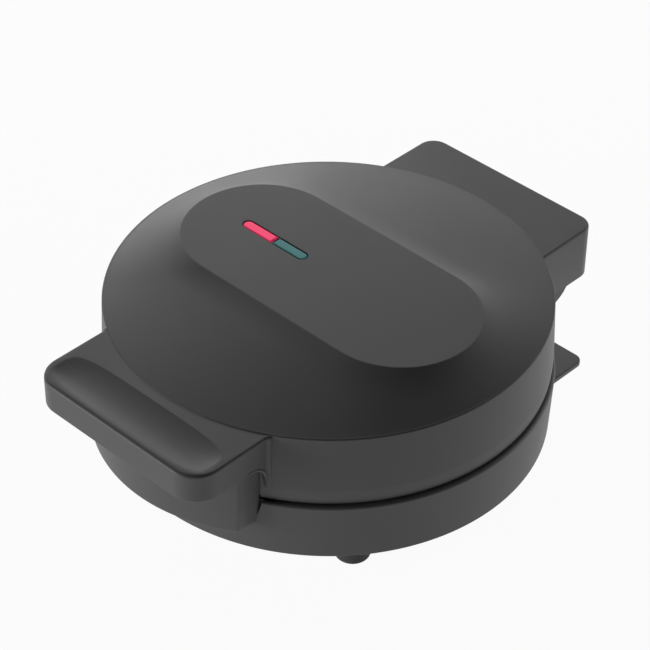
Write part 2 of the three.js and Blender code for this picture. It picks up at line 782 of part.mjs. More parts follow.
function cookingPlate(postAngles) {
  const deck = turned([[0, -deckThickness], [plateRadius - plateSkirtWall, -deckThickness],
    [plateRadius - plateSkirtWall, -plateSkirtDepth], [plateRadius, -plateSkirtDepth],
    [plateRadius, -rimEdge], [plateRadius - rimEdge, 0], [0, 0]], deckSteps);
  const backs = [];
  const cavities = [];
  for (const [x, y] of ringCentres()) {
    const back = turned([[ringCentreRadius - backDepth, -deckThickness / 2],
      ...[0.2, 0.5, 0.8].map((step) => {
        const swing = Math.PI + Math.PI * step;
        return [ringCentreRadius + backDepth * Math.cos(swing), backDepth * Math.sin(swing)];
      }),
      [ringCentreRadius + backDepth, -deckThickness / 2],
      [ringCentreRadius - backDepth, -deckThickness / 2]], backSteps);
    backs.push(back.translate([x, y, 0]));
    cavities.push(halfRing(ringTubeRadius, 1, ringSteps, 4).translate([x, y, 0]));
  }
  const pads = plateScrewAngles.map((angle) => cylinder(padRadius, -padDepth, -deckThickness / 2,
    ...polar(plateScrewCircle, angle)));
  const posts = [];
  const holes = [];
  for (const angle of postAngles) {
    const place = polar(gapCircle, angle);
    const postEnd = -strapDepth + strapThickness / 2 + seat;
    posts.push(cylinder(postRadius, postEnd, -deckThickness / 2, ...place, tinySteps));
    holes.push(smallHole(postEnd - 1, postEnd + smallScrewLength, ...place));
  }
  for (const angle of plateScrewAngles) {
    const place = polar(plateScrewCircle, angle);
    holes.push(cylinder(screwRadius + seat, -padDepth - 1, 1, ...place));
    holes.push(cylinder(screwHeadRadius + seat, -screwHeadHeight - 2 * seat, 1, ...place));
  }
  return joined([deck, ...backs, ...pads, ...posts]).subtract(joined([...cavities, ...holes]));
}

// The element runs in a ring under the cups and ends in two straight leads at the back.
class ElementCurve extends THREE.Curve {
  getPoint(t, target = new THREE.Vector3()) {
    const leadLength = elementLeadReach - elementCircle;
    const gapAngle = Math.asin(elementLeadSpacing / elementCircle);
    const loopLength = (2 * Math.PI - 2 * gapAngle) * elementCircle;
    const along = t * (loopLength + 2 * leadLength);
    if (along < leadLength) {
      return target.set(elementLeadSpacing, elementLeadReach - along, -strapDepth);
    }
    if (along > leadLength + loopLength) {
      const out = along - leadLength - loopLength;
      return target.set(-elementLeadSpacing, elementCircle + out, -strapDepth);
    }
    const angle = Math.PI / 2 - gapAngle - (along - leadLength) / elementCircle;
    return target.set(elementCircle * Math.cos(angle), elementCircle * Math.sin(angle), -strapDepth);
  }
}

function tubeAlong(curve, radius, sides, steps) {
  const section = new THREE.Shape();
  section.absarc(0, 0, radius, 0, 2 * Math.PI, false);
  return solid(new THREE.ExtrudeGeometry(section, {
    steps,
    curveSegments: sides / 2,
    extrudePath: curve,
    bevelEnabled: false,
  }));
}

function strap() {
  const inner = elementRadius + strapGap;
  const outer = inner + strapThickness;
  const half = strapThickness / 2;
  const near = gapCircle - strapFoot;
  const far = elementCircle + outer + strapFoot;
  const shape = new THREE.Shape();
  shape.moveTo(near, half);
  shape.lineTo(near, -half);
  const seatAngle = Math.asin(half / outer);
  shape.absarc(elementCircle, 0, outer, Math.PI + seatAngle, 2 * Math.PI - seatAngle, false);
  shape.lineTo(far, -half);
  shape.lineTo(far, half);
  shape.lineTo(elementCircle + inner, half);
  shape.absarc(elementCircle, 0, inner, 0, Math.PI, true);
  shape.lineTo(elementCircle - inner, half);
  const bar = sideProfile(shape, -strapWidth / 2, strapWidth / 2, 4).rotate([0, 0, -90]);
  return bar.subtract(smallHole(-strapThickness, strapThickness, gapCircle, 0));
}

// A pan-head screw whose shank points up, its head resting below z = 0.
function screw(shankRadius, headRadius, headHeight, length) {
  return turned([[0, -headHeight], [headRadius * 0.8, -headHeight], [headRadius, 0], [shankRadius, 0],
    [shankRadius, length - shankRadius], [0, length]], tinySteps);
}

function placed(mesh, x, y, z, turn = 0) {
  mesh.position.set(x, y, z);
  mesh.rotation.z = turn;
  return mesh;
}

function smallScrew(name, x, y, z, pointsDown = false) {
  const body = screw(smallScrewRadius, smallHeadRadius, smallHeadHeight, smallScrewLength);
  const turnedBody = pointsDown ? body.rotate([180, 0, 0]) : body;
  return placed(part(name, turnedBody, finishes.spring_steel), x, y, z);
}

function heatedPlate(side, postAngles) {
  const group = new THREE.Group();
  const steel = finishes.spring_steel;
  group.add(part(`${side}_plate`, cookingPlate(postAngles), finishes.plate));
  const rod = tubeAlong(new ElementCurve(), elementRadius, 6, 32);
  group.add(part(`${side}_element`, rod, finishes.element));
  plateScrewAngles.forEach((angle, k) => {
    const plateScrew = screw(screwRadius, screwHeadRadius, screwHeadHeight, plateScrewLength);
    const sunkScrew = part(`${side}_plate_screw_${k + 1}`, plateScrew.rotate([180, 0, 0]), steel);
    group.add(placed(sunkScrew, ...polar(plateScrewCircle, angle), -screwHeadHeight - seat));
    const strapHere = part(`${side}_strap_${k + 1}`, strap(), steel);
    group.add(placed(strapHere, 0, 0, -strapDepth, radians(angle)));
    const headZ = -strapDepth - strapThickness / 2 - seat;
    group.add(smallScrew(`${side}_strap_screw_${k + 1}`, ...polar(gapCircle, angle), headZ));
  });
  return group;
}

// ---------------------------------------------------------------------------------------------
// Small parts
// ---------------------------------------------------------------------------------------------

function foot() {
  const topZ = footHeight - seat;
  const barbZ = floorTopZ + seat;
  const stemTopZ = floorTopZ + footDome;
  const profile = [[0, 0], [footRadius * footFlatShare, 0]];
  for (const step of [0.5, 1]) {
    const swing = (step * Math.PI) / 2;
    const share = THREE.MathUtils.lerp(footFlatShare, 1, Math.sin(swing));
    profile.push([footRadius * share, footDome * (1 - Math.cos(swing))]);
  }
  profile.push([footRadius, topZ], [footStemRadius, topZ], [footStemRadius, barbZ]);
  profile.push([footStemRadius + footBarb, barbZ], [footStemRadius * 0.6, stemTopZ], [0, stemTopZ]);
  return turned(profile, smallSteps);
}

function hingePin() {
  const endRadius = pinRadius - pinChamfer;
  return turned([[0, 0], [endRadius, 0], [pinRadius, pinChamfer], [pinRadius, pinLength - pinChamfer],
    [endRadius, pinLength], [0, pinLength]], smallSteps).rotate([0, 90, 0]);
}

function cordBush() {
  const outer = inletRadius;
  const flangeRadius = inletRadius + bushFlange;
  const barbStart = wall + 3 * seat;
  const barbEnd = barbStart + bushLip;
  return turned([[bushBore, -bushLip], [flangeRadius, -bushLip], [flangeRadius, -seat],
    [outer, -seat], [outer, barbStart], [flangeRadius - 0.8, barbStart], [outer - 0.6, barbEnd],
    [bushBore, barbEnd], [bushBore, -bushLip]], smallSteps).rotate([90, 0, 0]);
}

function cordClamp() {
  const reach = cordClampSpread + cordClampHalfWidth;
  const archOutside = bushBore + cordClampWall;
  const shape = new THREE.Shape();
  shape.moveTo(-reach, 0);
  shape.lineTo(reach, 0);
  shape.lineTo(reach, cordClampFoot);
  shape.lineTo(archOutside, cordClampFoot);
  shape.absarc(0, cordClampFoot, archOutside, 0, Math.PI, false);
  shape.lineTo(-reach, cordClampFoot);
  shape.closePath();
  const tunnel = new THREE.Shape();
  tunnel.moveTo(-bushBore, -1);
  tunnel.lineTo(bushBore, -1);
  tunnel.lineTo(bushBore, cordClampFoot);
  tunnel.absarc(0, cordClampFoot, bushBore, 0, Math.PI, false);
  const bar = raised(shape, -cordClampHalfWidth, cordClampHalfWidth)
    .subtract(raised(tunnel, -reach, reach))
    .rotate([90, 0, 0]);
  // Below the arch a thin tie keeps the two feet in one piece.
  const tie = block(-bushBore - 1, bushBore + 1, -cordClampHalfWidth, cordClampHalfWidth, 0, 1);
  const holes = cordScrewX.map((x) => smallHole(-1, cordClampFoot + 1, x, 0));
  return bar.add(tie).subtract(joined(holes));
}

function lens(from, to, roundEnd) {
  const lensShape = (grow) => {
    const radius = lensHalfWidth - seat + grow;
    const shape = new THREE.Shape();
    if (roundEnd < 0) {
      shape.absarc(from + lensHalfWidth, 0, radius, Math.PI / 2, 1.5 * Math.PI, false);
      shape.lineTo(to, -radius);
      shape.lineTo(to, radius);
    } else {
      shape.absarc(to - lensHalfWidth, 0, radius, -Math.PI / 2, Math.PI / 2, false);
      shape.lineTo(from, radius);
      shape.lineTo(from, -radius);
    }
    return shape;
  };
  const flangeTopZ = panelZ - wall - seat;
  const cap = raised(lensShape(0), flangeTopZ - 1, panelZ - lensRecess);
  return cap.add(raised(lensShape(lensFlange + seat), flangeTopZ - lensFlangeThickness, flangeTopZ));
}

function lampHolder() {
  const halfWidth = lampRadius + 2 * seat + lensRecess + 2 * holderWall;
  const innerHalfWidth = halfWidth - holderWall;
  const bottomZ = holderTopZ - holderDepth;
  const tabTopZ = holderTopZ - holderTabDrop;
  const middle = (lensStart + lensEnd) / 2;
  const [start, end] = [lensStart - holderMargin, lensEnd + holderMargin];
  const box = block(start, end, -halfWidth, halfWidth, bottomZ, holderTopZ);
  const leftRoom = [start + holderWall, middle - holderWall / 2];
  const rightRoom = [middle + holderWall / 2, end - holderWall];
  const chambers = [leftRoom, rightRoom].map(([from, to]) =>
    block(from, to, -innerHalfWidth, innerHalfWidth, bottomZ + holderWall, farAbove));
  const tabs = block(holderBossX[0] - smallBossRadius, holderBossX[1] + smallBossRadius,
    -smallBossRadius, smallBossRadius, tabTopZ - holderTab, tabTopZ);
  const holes = holderBossX.map((x) => smallHole(bottomZ, holderTopZ, x, 0));
  return box.add(tabs).subtract(joined([...chambers, ...holes]));
}

function lamp() {
  return turned([[0, 0], [lampRadius * 0.9, 0], [lampRadius, 0.8], [lampRadius, lampLength - 2.5],
    [lampRadius * 0.6, lampLength - 0.8], [0, lampLength]], smallSteps).rotate([0, 90, 0]);
}

// Three poles in a row beside an ear for the mounting screw, which is at x = y = 0.
function terminalBlock() {
  const { x, y, z } = terminalSize;
  const earReach = y / 2 - 1;
  const pole = x / 3;
  const [earZ, stepZ] = [z * 0.3, z * 0.6];
  const bodies = [block(-x - earReach, earReach, -y / 2, y / 2, 0, earZ),
    block(-x - earReach, -earReach, -y / 2, y / 2, 0, stepZ)];
  const holes = [smallHole(-1, z + 1, 0, 0)];
  for (const k of [0.5, 1.5, 2.5]) {
    const middle = -earReach - k * pole;
    const half = pole / 2 - poleGap;
    bodies.push(block(middle - half, middle + half, -y / 2 + 1, y / 2 - 1, earZ, z));
    holes.push(cylinder(poleHoleRadius, stepZ, z + 1, middle, 0, tinySteps));
  }
  return joined(bodies).subtract(joined(holes));
}

// Sits behind the upper plate with its nose in the hollow of the middle post; its back is at -Z.
function thermostat() {
  const flangeZ = -strapDepth + strapThickness / 2 + seat;
  const backZ = flangeZ - thermostatCap;
  const noseZ = -deckThickness - seat;
  const bodyZ = flangeZ + thermostatBody;
  return turned([[0, backZ], [thermostatNeck - 1, backZ], [thermostatNeck, backZ + 1],
    [thermostatNeck, flangeZ], [thermostatRadius, flangeZ], [thermostatRadius, bodyZ],
    [thermostatNose, bodyZ], [thermostatNose, noseZ - 0.5], [thermostatNose - 0.5, noseZ],
    [0, noseZ]], smallSteps);
}

function thermostatBracket() {
  const top = strapThickness;
  const plate = block(-bracketEnd, gapCircle + bracketEnd, -bracketEnd, bracketEnd, 0, top);
  const hoop = cylinder(thermostatRadius + 2, 0, top);
  const hole = cylinder(thermostatNeck + seat, -1, top + 1);
  return joined([plate, hoop]).subtract(joined([hole, smallHole(-1, top + 1, gapCircle, 0)]));
}

function fuseBody() {
  return turned([[0, 0], [fuseRadius * 0.6, 0], [fuseRadius, 1], [fuseRadius, fuseLength - 1],
    [fuseRadius * 0.6, fuseLength], [0, fuseLength]], smallSteps).rotate([0, 90, 0]);
}

// A flat bar with a screw hole, curled up at one end round the fuse.
function fuseClip() {
  const inner = fuseRadius + seat;
  const outer = inner + clipThickness;
  const lipAngle = 0.75 * Math.PI;
  const shape = new THREE.Shape();
  shape.moveTo(fuseScrewY - clipTail, 0);
  shape.lineTo(0, 0);
  shape.absarc(0, outer, outer, -Math.PI / 2, lipAngle, false);
  shape.absarc(0, outer, inner, lipAngle, -Math.PI / 2, true);
  shape.lineTo(fuseScrewY - clipTail, clipThickness);
  const bar = sideProfile(shape, -clipHalfWidth, clipHalfWidth);
  return bar.subtract(smallHole(-1, clipThickness + 1, 0, fuseScrewY));
}

// ---------------------------------------------------------------------------------------------
// Assembly
// ---------------------------------------------------------------------------------------------

function baseGroup() {
  const group = new THREE.Group();
  group.add(part('base_housing', baseHousing(), finishes.housing));
  const cooking = heatedPlate('lower', plateScrewAngles);
  cooking.position.z = cookZ - plateGap / 2;
  group.add(cooking);
  const feet = { front_right: [1, -1], front_left: [-1, -1], rear_right: [1, 1], rear_left: [-1, 1] };
  for (const [corner, [sideX, sideY]] of Object.entries(feet)) {
    group.add(placed(part(`foot_${corner}`, foot(), finishes.rubber), sideX * footX, sideY * footY, 0));
  }
  const pinStart = earInner - lugGap - lugWidth + seat;
  const rightPin = part('hinge_pin_right', hingePin(), finishes.spring_steel);
  const leftPin = part('hinge_pin_left', hingePin(), finishes.spring_steel);
  group.add(placed(rightPin, pinStart, hingeReach, hingeZ));
  group.add(placed(leftPin, -pinStart - pinLength, hingeReach, hingeZ));
  group.add(placed(part('cord_bush', cordBush(), finishes.rubber), 0, inletWallY, inletZ));
  group.add(placed(part('cord_clamp', cordClamp(), finishes.white_nylon), 0, cordClampY, cordClampZ));
  cordScrewX.forEach((x, k) => {
    const name = `cord_clamp_screw_${k === 0 ? 'left' : 'right'}`;
    group.add(smallScrew(name, x, cordClampY, cordClampZ + cordClampFoot + seat, true));
  });
  const terminalZ = floorTopZ + terminalStand + seat;
  const [x, y] = terminalPlace;
  group.add(placed(part('terminal_block', terminalBlock(), finishes.ceramic), x, y, terminalZ));
  group.add(smallScrew('terminal_block_screw', x, y, terminalZ + terminalSize.z * 0.3 + seat, true));
  return group;
}

// What is fastened behind the upper plate, in that plate's own frame.
function upperControls() {
  const group = new THREE.Group();
  const flatZ = -strapDepth + strapThickness / 2;
  group.add(part('thermostat', thermostat(), finishes.ceramic));
  const bracket = part('thermostat_bracket', thermostatBracket(), finishes.spring_steel);
  group.add(placed(bracket, 0, 0, flatZ - strapThickness, radians(thermostatPost)));
  const bracketScrewZ = flatZ - strapThickness - seat;
  group.add(smallScrew('thermostat_screw', ...polar(gapCircle, thermostatPost), bracketScrewZ));
  const [postX, postY] = polar(gapCircle, fusePost);
  const clip = part('fuse_clip', fuseClip().rotate([180, 0, 0]), finishes.spring_steel);
  group.add(placed(clip, postX, postY + fuseScrewY, flatZ));
  const fuse = part('thermal_fuse', fuseBody(), finishes.white_nylon);
  const fuseZ = flatZ - fuseRadius - seat - clipThickness;
  group.add(placed(fuse, postX - fuseLength / 2, postY + fuseScrewY, fuseZ));
  group.add(smallScrew('fuse_clip_screw', postX, postY, flatZ - clipThickness - seat));
  return group;
}

function indicatorGroup() {
  const group = new THREE.Group();
  const middle = (lensStart + lensEnd) / 2;
  group.add(part('power_lens', lens(lensStart, middle - seat / 2, -1), finishes.red_lens));
  group.add(part('ready_lens', lens(middle + seat / 2, lensEnd, 1), finishes.green_lens));
  group.add(part('lamp_holder', lampHolder(), finishes.white_nylon));
  const lampZ = holderTopZ - holderDepth + holderWall + seat + lampRadius;
  const powerLamp = part('power_lamp', lamp(), finishes.lamp_glass);
  const readyLamp = part('ready_lamp', lamp(), finishes.lamp_glass);
  group.add(placed(powerLamp, (lensStart + middle - lampLength) / 2, 0, lampZ));
  group.add(placed(readyLamp, (lensEnd + middle - lampLength) / 2, 0, lampZ));
  holderBossX.forEach((x, k) => {
    const headZ = holderTopZ - holderTabDrop - holderTab - seat;
    group.add(smallScrew(`lamp_holder_screw_${k + 1}`, x, 0, headZ));
  });
  return group;
}

function lidGroup() {
  const group = new THREE.Group();
  group.add(part('lid_housing', lidHousing(), finishes.housing));
  const cooking = heatedPlate('upper', [...plateScrewAngles, thermostatPost, fusePost]);
  cooking.add(upperControls());
  cooking.position.z = cookZ + plateGap / 2;
  cooking.rotation.y = Math.PI;
  group.add(cooking);
  group.add(indicatorGroup());
  return group;
}

// The drum stands a little behind the middle, because the handle reaches further than the hinge.
const donutMaker = new THREE.Group();
donutMaker.add(baseGroup(), lidGroup());
donutMaker.position.y = drumY;

export default donutMaker;
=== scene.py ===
import json
import math

import bmesh
import bpy
from bpy.props import FloatProperty, FloatVectorProperty, IntProperty, PointerProperty
from mathutils import Matrix, Vector


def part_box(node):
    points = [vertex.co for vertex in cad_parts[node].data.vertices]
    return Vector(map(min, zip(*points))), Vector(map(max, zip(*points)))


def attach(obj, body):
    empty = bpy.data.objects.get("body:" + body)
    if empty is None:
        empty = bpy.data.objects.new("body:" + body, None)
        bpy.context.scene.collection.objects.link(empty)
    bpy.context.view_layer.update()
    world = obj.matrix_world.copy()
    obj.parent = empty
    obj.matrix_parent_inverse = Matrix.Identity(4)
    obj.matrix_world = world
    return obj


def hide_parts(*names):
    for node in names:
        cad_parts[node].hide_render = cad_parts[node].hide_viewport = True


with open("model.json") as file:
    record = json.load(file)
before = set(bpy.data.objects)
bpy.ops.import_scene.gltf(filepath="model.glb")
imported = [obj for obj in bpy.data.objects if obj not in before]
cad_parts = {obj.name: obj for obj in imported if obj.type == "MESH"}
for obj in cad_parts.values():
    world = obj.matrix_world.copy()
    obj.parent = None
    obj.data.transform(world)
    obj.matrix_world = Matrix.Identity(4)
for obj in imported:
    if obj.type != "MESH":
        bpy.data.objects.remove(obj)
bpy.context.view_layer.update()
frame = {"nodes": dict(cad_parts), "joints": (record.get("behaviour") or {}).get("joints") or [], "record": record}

bl_info = {
    "name": "Donut maker",
    "version": (1, 0, 0),
    "blender": (4, 5, 0),
    "location": "3D View > Sidebar > Donut maker",
    "description": "Mouldings, cooking plates and finishes for a hinged maker of ring cakes",
    "category": "Object",
}

MM = 0.001
LID_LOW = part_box("lid_housing")[0]
PLATE_LOW, PLATE_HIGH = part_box("lower_plate")
UPPER_PLATE_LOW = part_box("upper_plate")[0]
DRUM_Y = (PLATE_LOW.y + PLATE_HIGH.y) / 2
HINGE = next(joint for joint in frame["joints"] if joint["name"] == "lid_hinge")
HINGE_Y = HINGE["pos_m"][1] - DRUM_Y
HINGE_Z = HINGE["pos_m"][2]
BASE_TOP = 38.5 * MM

# Points closer than this are one point.
MERGE = 1e-7
# Points this close to a height lie at it.
SAME_LEVEL = 0.01 * MM
# A round that takes up a whole side stops this short of it, and its ends are then merged.
FULL_ROUND = 0.9999
FULL_ROUND_MERGE = 2e-6
QUARTER = math.pi / 2
SOFT_CREASE = 34.0


# ---------------------------------------------------------------------------------------------
# Sizes and finishes
# ---------------------------------------------------------------------------------------------

def length(name, description, default):
    return FloatProperty(
        name=name, description=description, default=default, min=0.0,
        unit="LENGTH", subtype="DISTANCE", precision=5,
    )


def coordinate(name, description, default):
    return FloatProperty(
        name=name, description=description, default=default, unit="LENGTH", precision=5,
    )


def colour(name, description, default):
    return FloatVectorProperty(
        name=name, description=description, default=default, size=4, min=0.0, max=1.0,
        subtype="COLOR",
    )


def amount(name, description, default, top=1.0):
    return FloatProperty(name=name, description=description, default=default, min=0.0, max=top)


class LidSizes(bpy.types.PropertyGroup):
    """Sizes of the lid's drum, crown and panel"""

    rim_radius: length("Rim radius", "Radius of the crisp rim round the crown", 107.5 * MM)
    rim_height: length("Rim height", "Height of the rim above the table", 77.1 * MM)
    flare: length("Flare", "How much wider the wall is at its lip than at its rim", 1.25 * MM)
    lip_height: length("Lip height", "Height of the curved lip at the foot of the wall", 8.5 * MM)
    lip_curl: length("Lip curl", "How far the lip rolls inwards", 1.3 * MM)
    lip_dip: length("Lip dip", "How far the lip reaches down towards the base", 0.9 * MM)
    skirt_height: length("Skirt height", "Height of the handle's underside above the lip", 7 * MM)
    wall: length("Wall", "Thickness of the moulding", 2.5 * MM)
    edge: length("Edge", "Radius of the small rounds on outer edges", 0.8 * MM)
    panel_half_length: length("Panel half length", "Half the length of the raised panel", 84.5 * MM)
    panel_half_width: length("Panel half width", "Half the width of the raised panel", 39.3 * MM)
    cone_rise: length("Cone rise", "Climb of the crown's low cone", 10.1 * MM)
    fillet_rise: length("Fillet rise", "Extra climb of the hollow at the panel", 1.1 * MM)
    fillet: length("Fillet", "Width of the hollow at the panel", 13 * MM)
    steps: IntProperty(
        name="Steps", description="Facets round the drum", default=240, min=24, max=720,
    )


class IndicatorSizes(bpy.types.PropertyGroup):
    """Sizes of the indicator slot and its two lenses"""

    start: coordinate("Start", "Left end of the slot", -57 * MM)
    end: coordinate("End", "Right end of the slot", -14.8 * MM)
    half_width: length("Half width", "Half the width of the slot", 3.2 * MM)
    gap: length("Gap", "Gap between a lens and the slot", 0.4 * MM)
    recess: length("Recess", "How far the lenses sit below the panel", 0.1 * MM)


class HandleSizes(bpy.types.PropertyGroup):
    """Sizes of the front handle and its finger scoop"""

    half_width: length("Half width", "Half the width of the handle", 54 * MM)
    reach: length("Reach", "Distance of the front face from the drum axis", 138.8 * MM)
    thickness: length("Thickness", "Height of the front wall", 15.2 * MM)
    drop: length("Drop", "How far the top lies below the rim", 0.5 * MM)
    corner: length("Corner", "Radius of the front corners", 14 * MM)
    wall: length("Wall", "Thickness of the skirt", 3 * MM)
    side_edge: length("Side edge", "Radius of the round along the sides of the top", 1.25 * MM)
    front_edge: length("Front edge", "Radius of the round along the front of the top", 2 * MM)
    fillet: length("Fillet", "Radius of the hollow between a side and the drum", 2.2 * MM)
    arch: length("Arch", "Radius of the arch beside the drum", 10.5 * MM)
    flange: length("Flange", "Width of the skirt where it meets the drum", 1 * MM)
    bead: length("Bead", "Radius of the bead round the arches", 1.1 * MM)
    scoop_half_length: length("Scoop half length", "Half the length of the scoop", 50.3 * MM)
    scoop_rear: length("Scoop rear", "Distance of the scoop's crisp edge from the axis", 112.7 * MM)
    scoop_front: length("Scoop front", "Distance of the scoop's soft lip from the axis", 136.8 * MM)
    scoop_depth: length("Scoop depth", "Depth of the scoop", 1.7 * MM)
    roof: length("Roof", "Thickness under the scoop", 2.6 * MM)


class HingeSizes(bpy.types.PropertyGroup):
    """Sizes of the hinge block, its lugs and the ears of the base"""

    half_width: length("Half width", "Half the width of the hinge block", 54.5 * MM)
    reach: length("Reach", "Distance of the back face from the drum axis", 134.2 * MM)
    drop: length("Drop", "How far the top lies below the rim", 2.1 * MM)
    corner: length("Corner", "Radius of the upright corners", 9 * MM)
    heel: length("Heel", "Radius of the lower back corner", 6 * MM)
    edge: length("Edge", "Radius of the round along the top", 1.25 * MM)
    wall: length("Wall", "Thickness of the block's walls", 3 * MM)
    window: length("Window", "Height of the open back above the hinge", 6 * MM)
    lug: length("Lug", "Radius of the lid's lugs", 7 * MM)
    ear: length("Ear", "Radius of the base's ears", 8 * MM)
    ear_inside: length("Ear inside", "Distance of an ear's inner face from the middle", 38 * MM)
    ear_width: length("Ear width", "Thickness of an ear", 8 * MM)
    lug_width: length("Lug width", "Thickness of a lug", 4 * MM)
    side_gap: length("Side gap", "Gap between a lug and an ear", 0.5 * MM)
    pin: length("Pin", "Radius of the hinge pins", 2 * MM)


class BaseSizes(bpy.types.PropertyGroup):
    """Sizes of the base drum, its front block, hinge bracket, heel and feet"""

    top_radius: length("Top radius", "Radius of the base at its top", 110.1 * MM)
    draft: length("Draft", "How much narrower the base is at its foot", 1.3 * MM)
    bottom: length("Bottom", "Height of the underside above the table", 7 * MM)
    top: length("Top", "Height of the top edge above the table", BASE_TOP)
    bottom_round: length("Bottom round", "Radius of the lower edge", 1 * MM)
    wall: length("Wall", "Thickness of the moulding", 2.5 * MM)
    block_half_width: length("Block half width", "Half the width of the front block", 50.5 * MM)
    block_reach: length("Block reach", "Distance of the block's face from the axis", 124.7 * MM)
    block_face: length("Block face", "Radius of the block's bowed face", 90 * MM)
    block_under: length("Block underside", "Height of the block's underside", 26 * MM)
    clear_radius: length("Clear radius", "Radius that clears the lid's lip", 109.75 * MM)
    block_gap: length("Block gap", "Gap between the front block and the lid's wall", 0.4 * MM)
    bracket_half_width: length("Bracket half width", "Half the width of the bracket", 50 * MM)
    heel_half_width: length("Heel half width", "Half the width of the heel plate", 70 * MM)
    heel_reach: length("Heel reach", "Distance of the heel's back from the axis", 113.5 * MM)
    foot_radius: length("Foot radius", "Radius of a rubber foot", 8.6 * MM)


class PlateSizes(bpy.types.PropertyGroup):
    """Sizes of the two cast cooking plates"""

    radius: length("Radius", "Radius of a plate", 104 * MM)
    skirt: length("Skirt", "Depth of the plate's edge", 8 * MM)
    deck: length("Deck", "Thickness of the plate", 3 * MM)
    pitch: length("Pitch", "Distance from the middle ring to the others", 62 * MM)
    ring: length("Ring", "Radius of a ring's centre line", 18.5 * MM)
    tube: length("Tube", "Radius of a ring's section", 10.5 * MM)
    screw_circle: length("Screw circle", "Distance of the plate screws from the axis", 88 * MM)
    screw_head: length("Screw head", "Radius of a plate screw's head", 3.2 * MM)


class FinishColours(bpy.types.PropertyGroup):
    """Colours of the finishes"""

    housing: colour("Housing", "Soft-touch charcoal plastic", (0.0745, 0.0745, 0.0762, 1))
    coating: colour("Coating", "Non-stick coating of the plates", (0.040, 0.040, 0.042, 1))
    element: colour("Element", "Oxidised heating element", (0.13, 0.135, 0.125, 1))
    zinc: colour("Zinc", "Zinc-plated steel", (0.52, 0.53, 0.55, 1))
    rubber: colour("Rubber", "Feet and cord bush", (0.070, 0.070, 0.071, 1))
    power: colour("Power lens", "Red lens", (0.86, 0.05, 0.13, 1))
    power_glow: colour("Power glow", "Light behind the red lens", (0.68, 0.035, 0.12, 1))
    ready: colour("Ready lens", "Dark green lens", (0.11, 0.42, 0.44, 1))
    nylon: colour("Nylon", "Natural nylon", (0.72, 0.69, 0.60, 1))
    ceramic: colour("Ceramic", "Unglazed ceramic", (0.66, 0.62, 0.53, 1))
    lamp: colour("Lamp", "Neon lamp glass", (0.85, 0.50, 0.32, 1))


class StudioSettings(bpy.types.PropertyGroup):
    """Camera, lamps and floor"""

    lens: amount("Lens", "Focal length in millimetres on a 36 mm sensor", 133.60, 400.0)
    world: amount("World", "Strength of the even light from all round", 0.0, 10.0)
    box_distance: length("Box distance", "Distance of the soft boxes", 1.5)
    box_width: length("Box width", "Width of a soft box", 0.9)
    box_height: length("Box height", "Height of a soft box", 0.6)
    floor: amount("Floor", "Brightness of the paper on the floor", 0.9)
    white: amount("White", "How much of the paper's own white the camera sees", 0.95)
    bounce: amount("Bounce", "Light that the paper throws up", 0.35)


# ---------------------------------------------------------------------------------------------
# Modelling helpers
# ---------------------------------------------------------------------------------------------

def rounded(bm, corner, radius, segments):
    """Round one corner of a chain or outline."""
    first, second = (edge.other_vert(corner).co - corner.co for edge in corner.link_edges)
    turn = math.pi - first.angle(second)
    bmesh.ops.bevel(
        bm, geom=[corner], affect="VERTICES", offset=radius * math.tan(turn / 2),
        offset_type="OFFSET", segments=segments, profile=0.5, material=-1,
    )


def chain(bm, points, rounds=(), closed=False):
    """Edges through a few corners, of which some are rounded as (index, radius, segments)."""
    corners = [bm.verts.new(point) for point in points]
    for pair in zip(corners, corners[1:]):
        bm.edges.new(pair)
    if closed:
        bm.edges.new((corners[-1], corners[0]))
    for index, radius, segments in rounds:
        rounded(bm, corners[index], radius, segments)
    return corners


def section(points, rounds=()):
    """A half section, given as (radius, height), ready to be turned."""
    bm = bmesh.new()
    chain(bm, [(radius, 0, height) for radius, height in points], rounds)
    return bm


def turned(bm, steps):
    """Spin a half section once round the drum's axis."""
    bmesh.ops.spin(
        bm, geom=bm.verts[:] + bm.edges[:], cent=(0, 0, 0), axis=(0, 0, 1), dvec=(0, 0, 0),
        angle=2 * math.pi, steps=steps, use_merge=True, use_normal_flip=False, use_duplicate=False,
    )
    bmesh.ops.remove_doubles(bm, verts=bm.verts, dist=MERGE)
    return bm


def arc(bm, start, centre, angle, steps, axis=(0, 0, 1)):
    """An arc swept by one point; gives its first and last point."""
    first = bm.verts.new(start)
    swept = bmesh.ops.spin(
        bm, geom=[first], cent=centre, axis=axis, dvec=(0, 0, 0), angle=angle, steps=steps,
        use_merge=False, use_normal_flip=False, use_duplicate=False,
    )
    last = next(item for item in swept["geom_last"] if isinstance(item, bmesh.types.BMVert))
    return first, last


def ring_on(bm, edges, place):
    """Draw a new ring out of a loop of edges and put each of its points where place says."""
    made = bmesh.ops.extrude_edge_only(bm, edges=edges)["geom"]
    for item in made:
        if isinstance(item, bmesh.types.BMVert):
            item.co = place(item.co)
    return [item for item in made if isinstance(item, bmesh.types.BMEdge)]


def open_edges(bm, test):
    """The edges with a free side, of which both ends pass a test."""
    return [edge for edge in bm.edges
            if len(edge.link_faces) < 2 and all(test(corner.co) for corner in edge.verts)]


def edges_at(bm, height):
    """The edges with a free side that lie at a height."""
    return open_edges(bm, lambda co: abs(co.z - height) < SAME_LEVEL)


def fill(bm, edges, normal=(0, 0, 1)):
    """Close a flat outline, with any holes in it."""
    bmesh.ops.triangle_fill(
        bm, use_beauty=True, use_dissolve=False, edges=edges, normal=normal,
    )


def moved(bm, matrix):
    bmesh.ops.transform(bm, matrix=matrix, verts=bm.verts)
    return bm


def shifted(bm, vec):
    bmesh.ops.translate(bm, verts=bm.verts, vec=vec)
    return bm


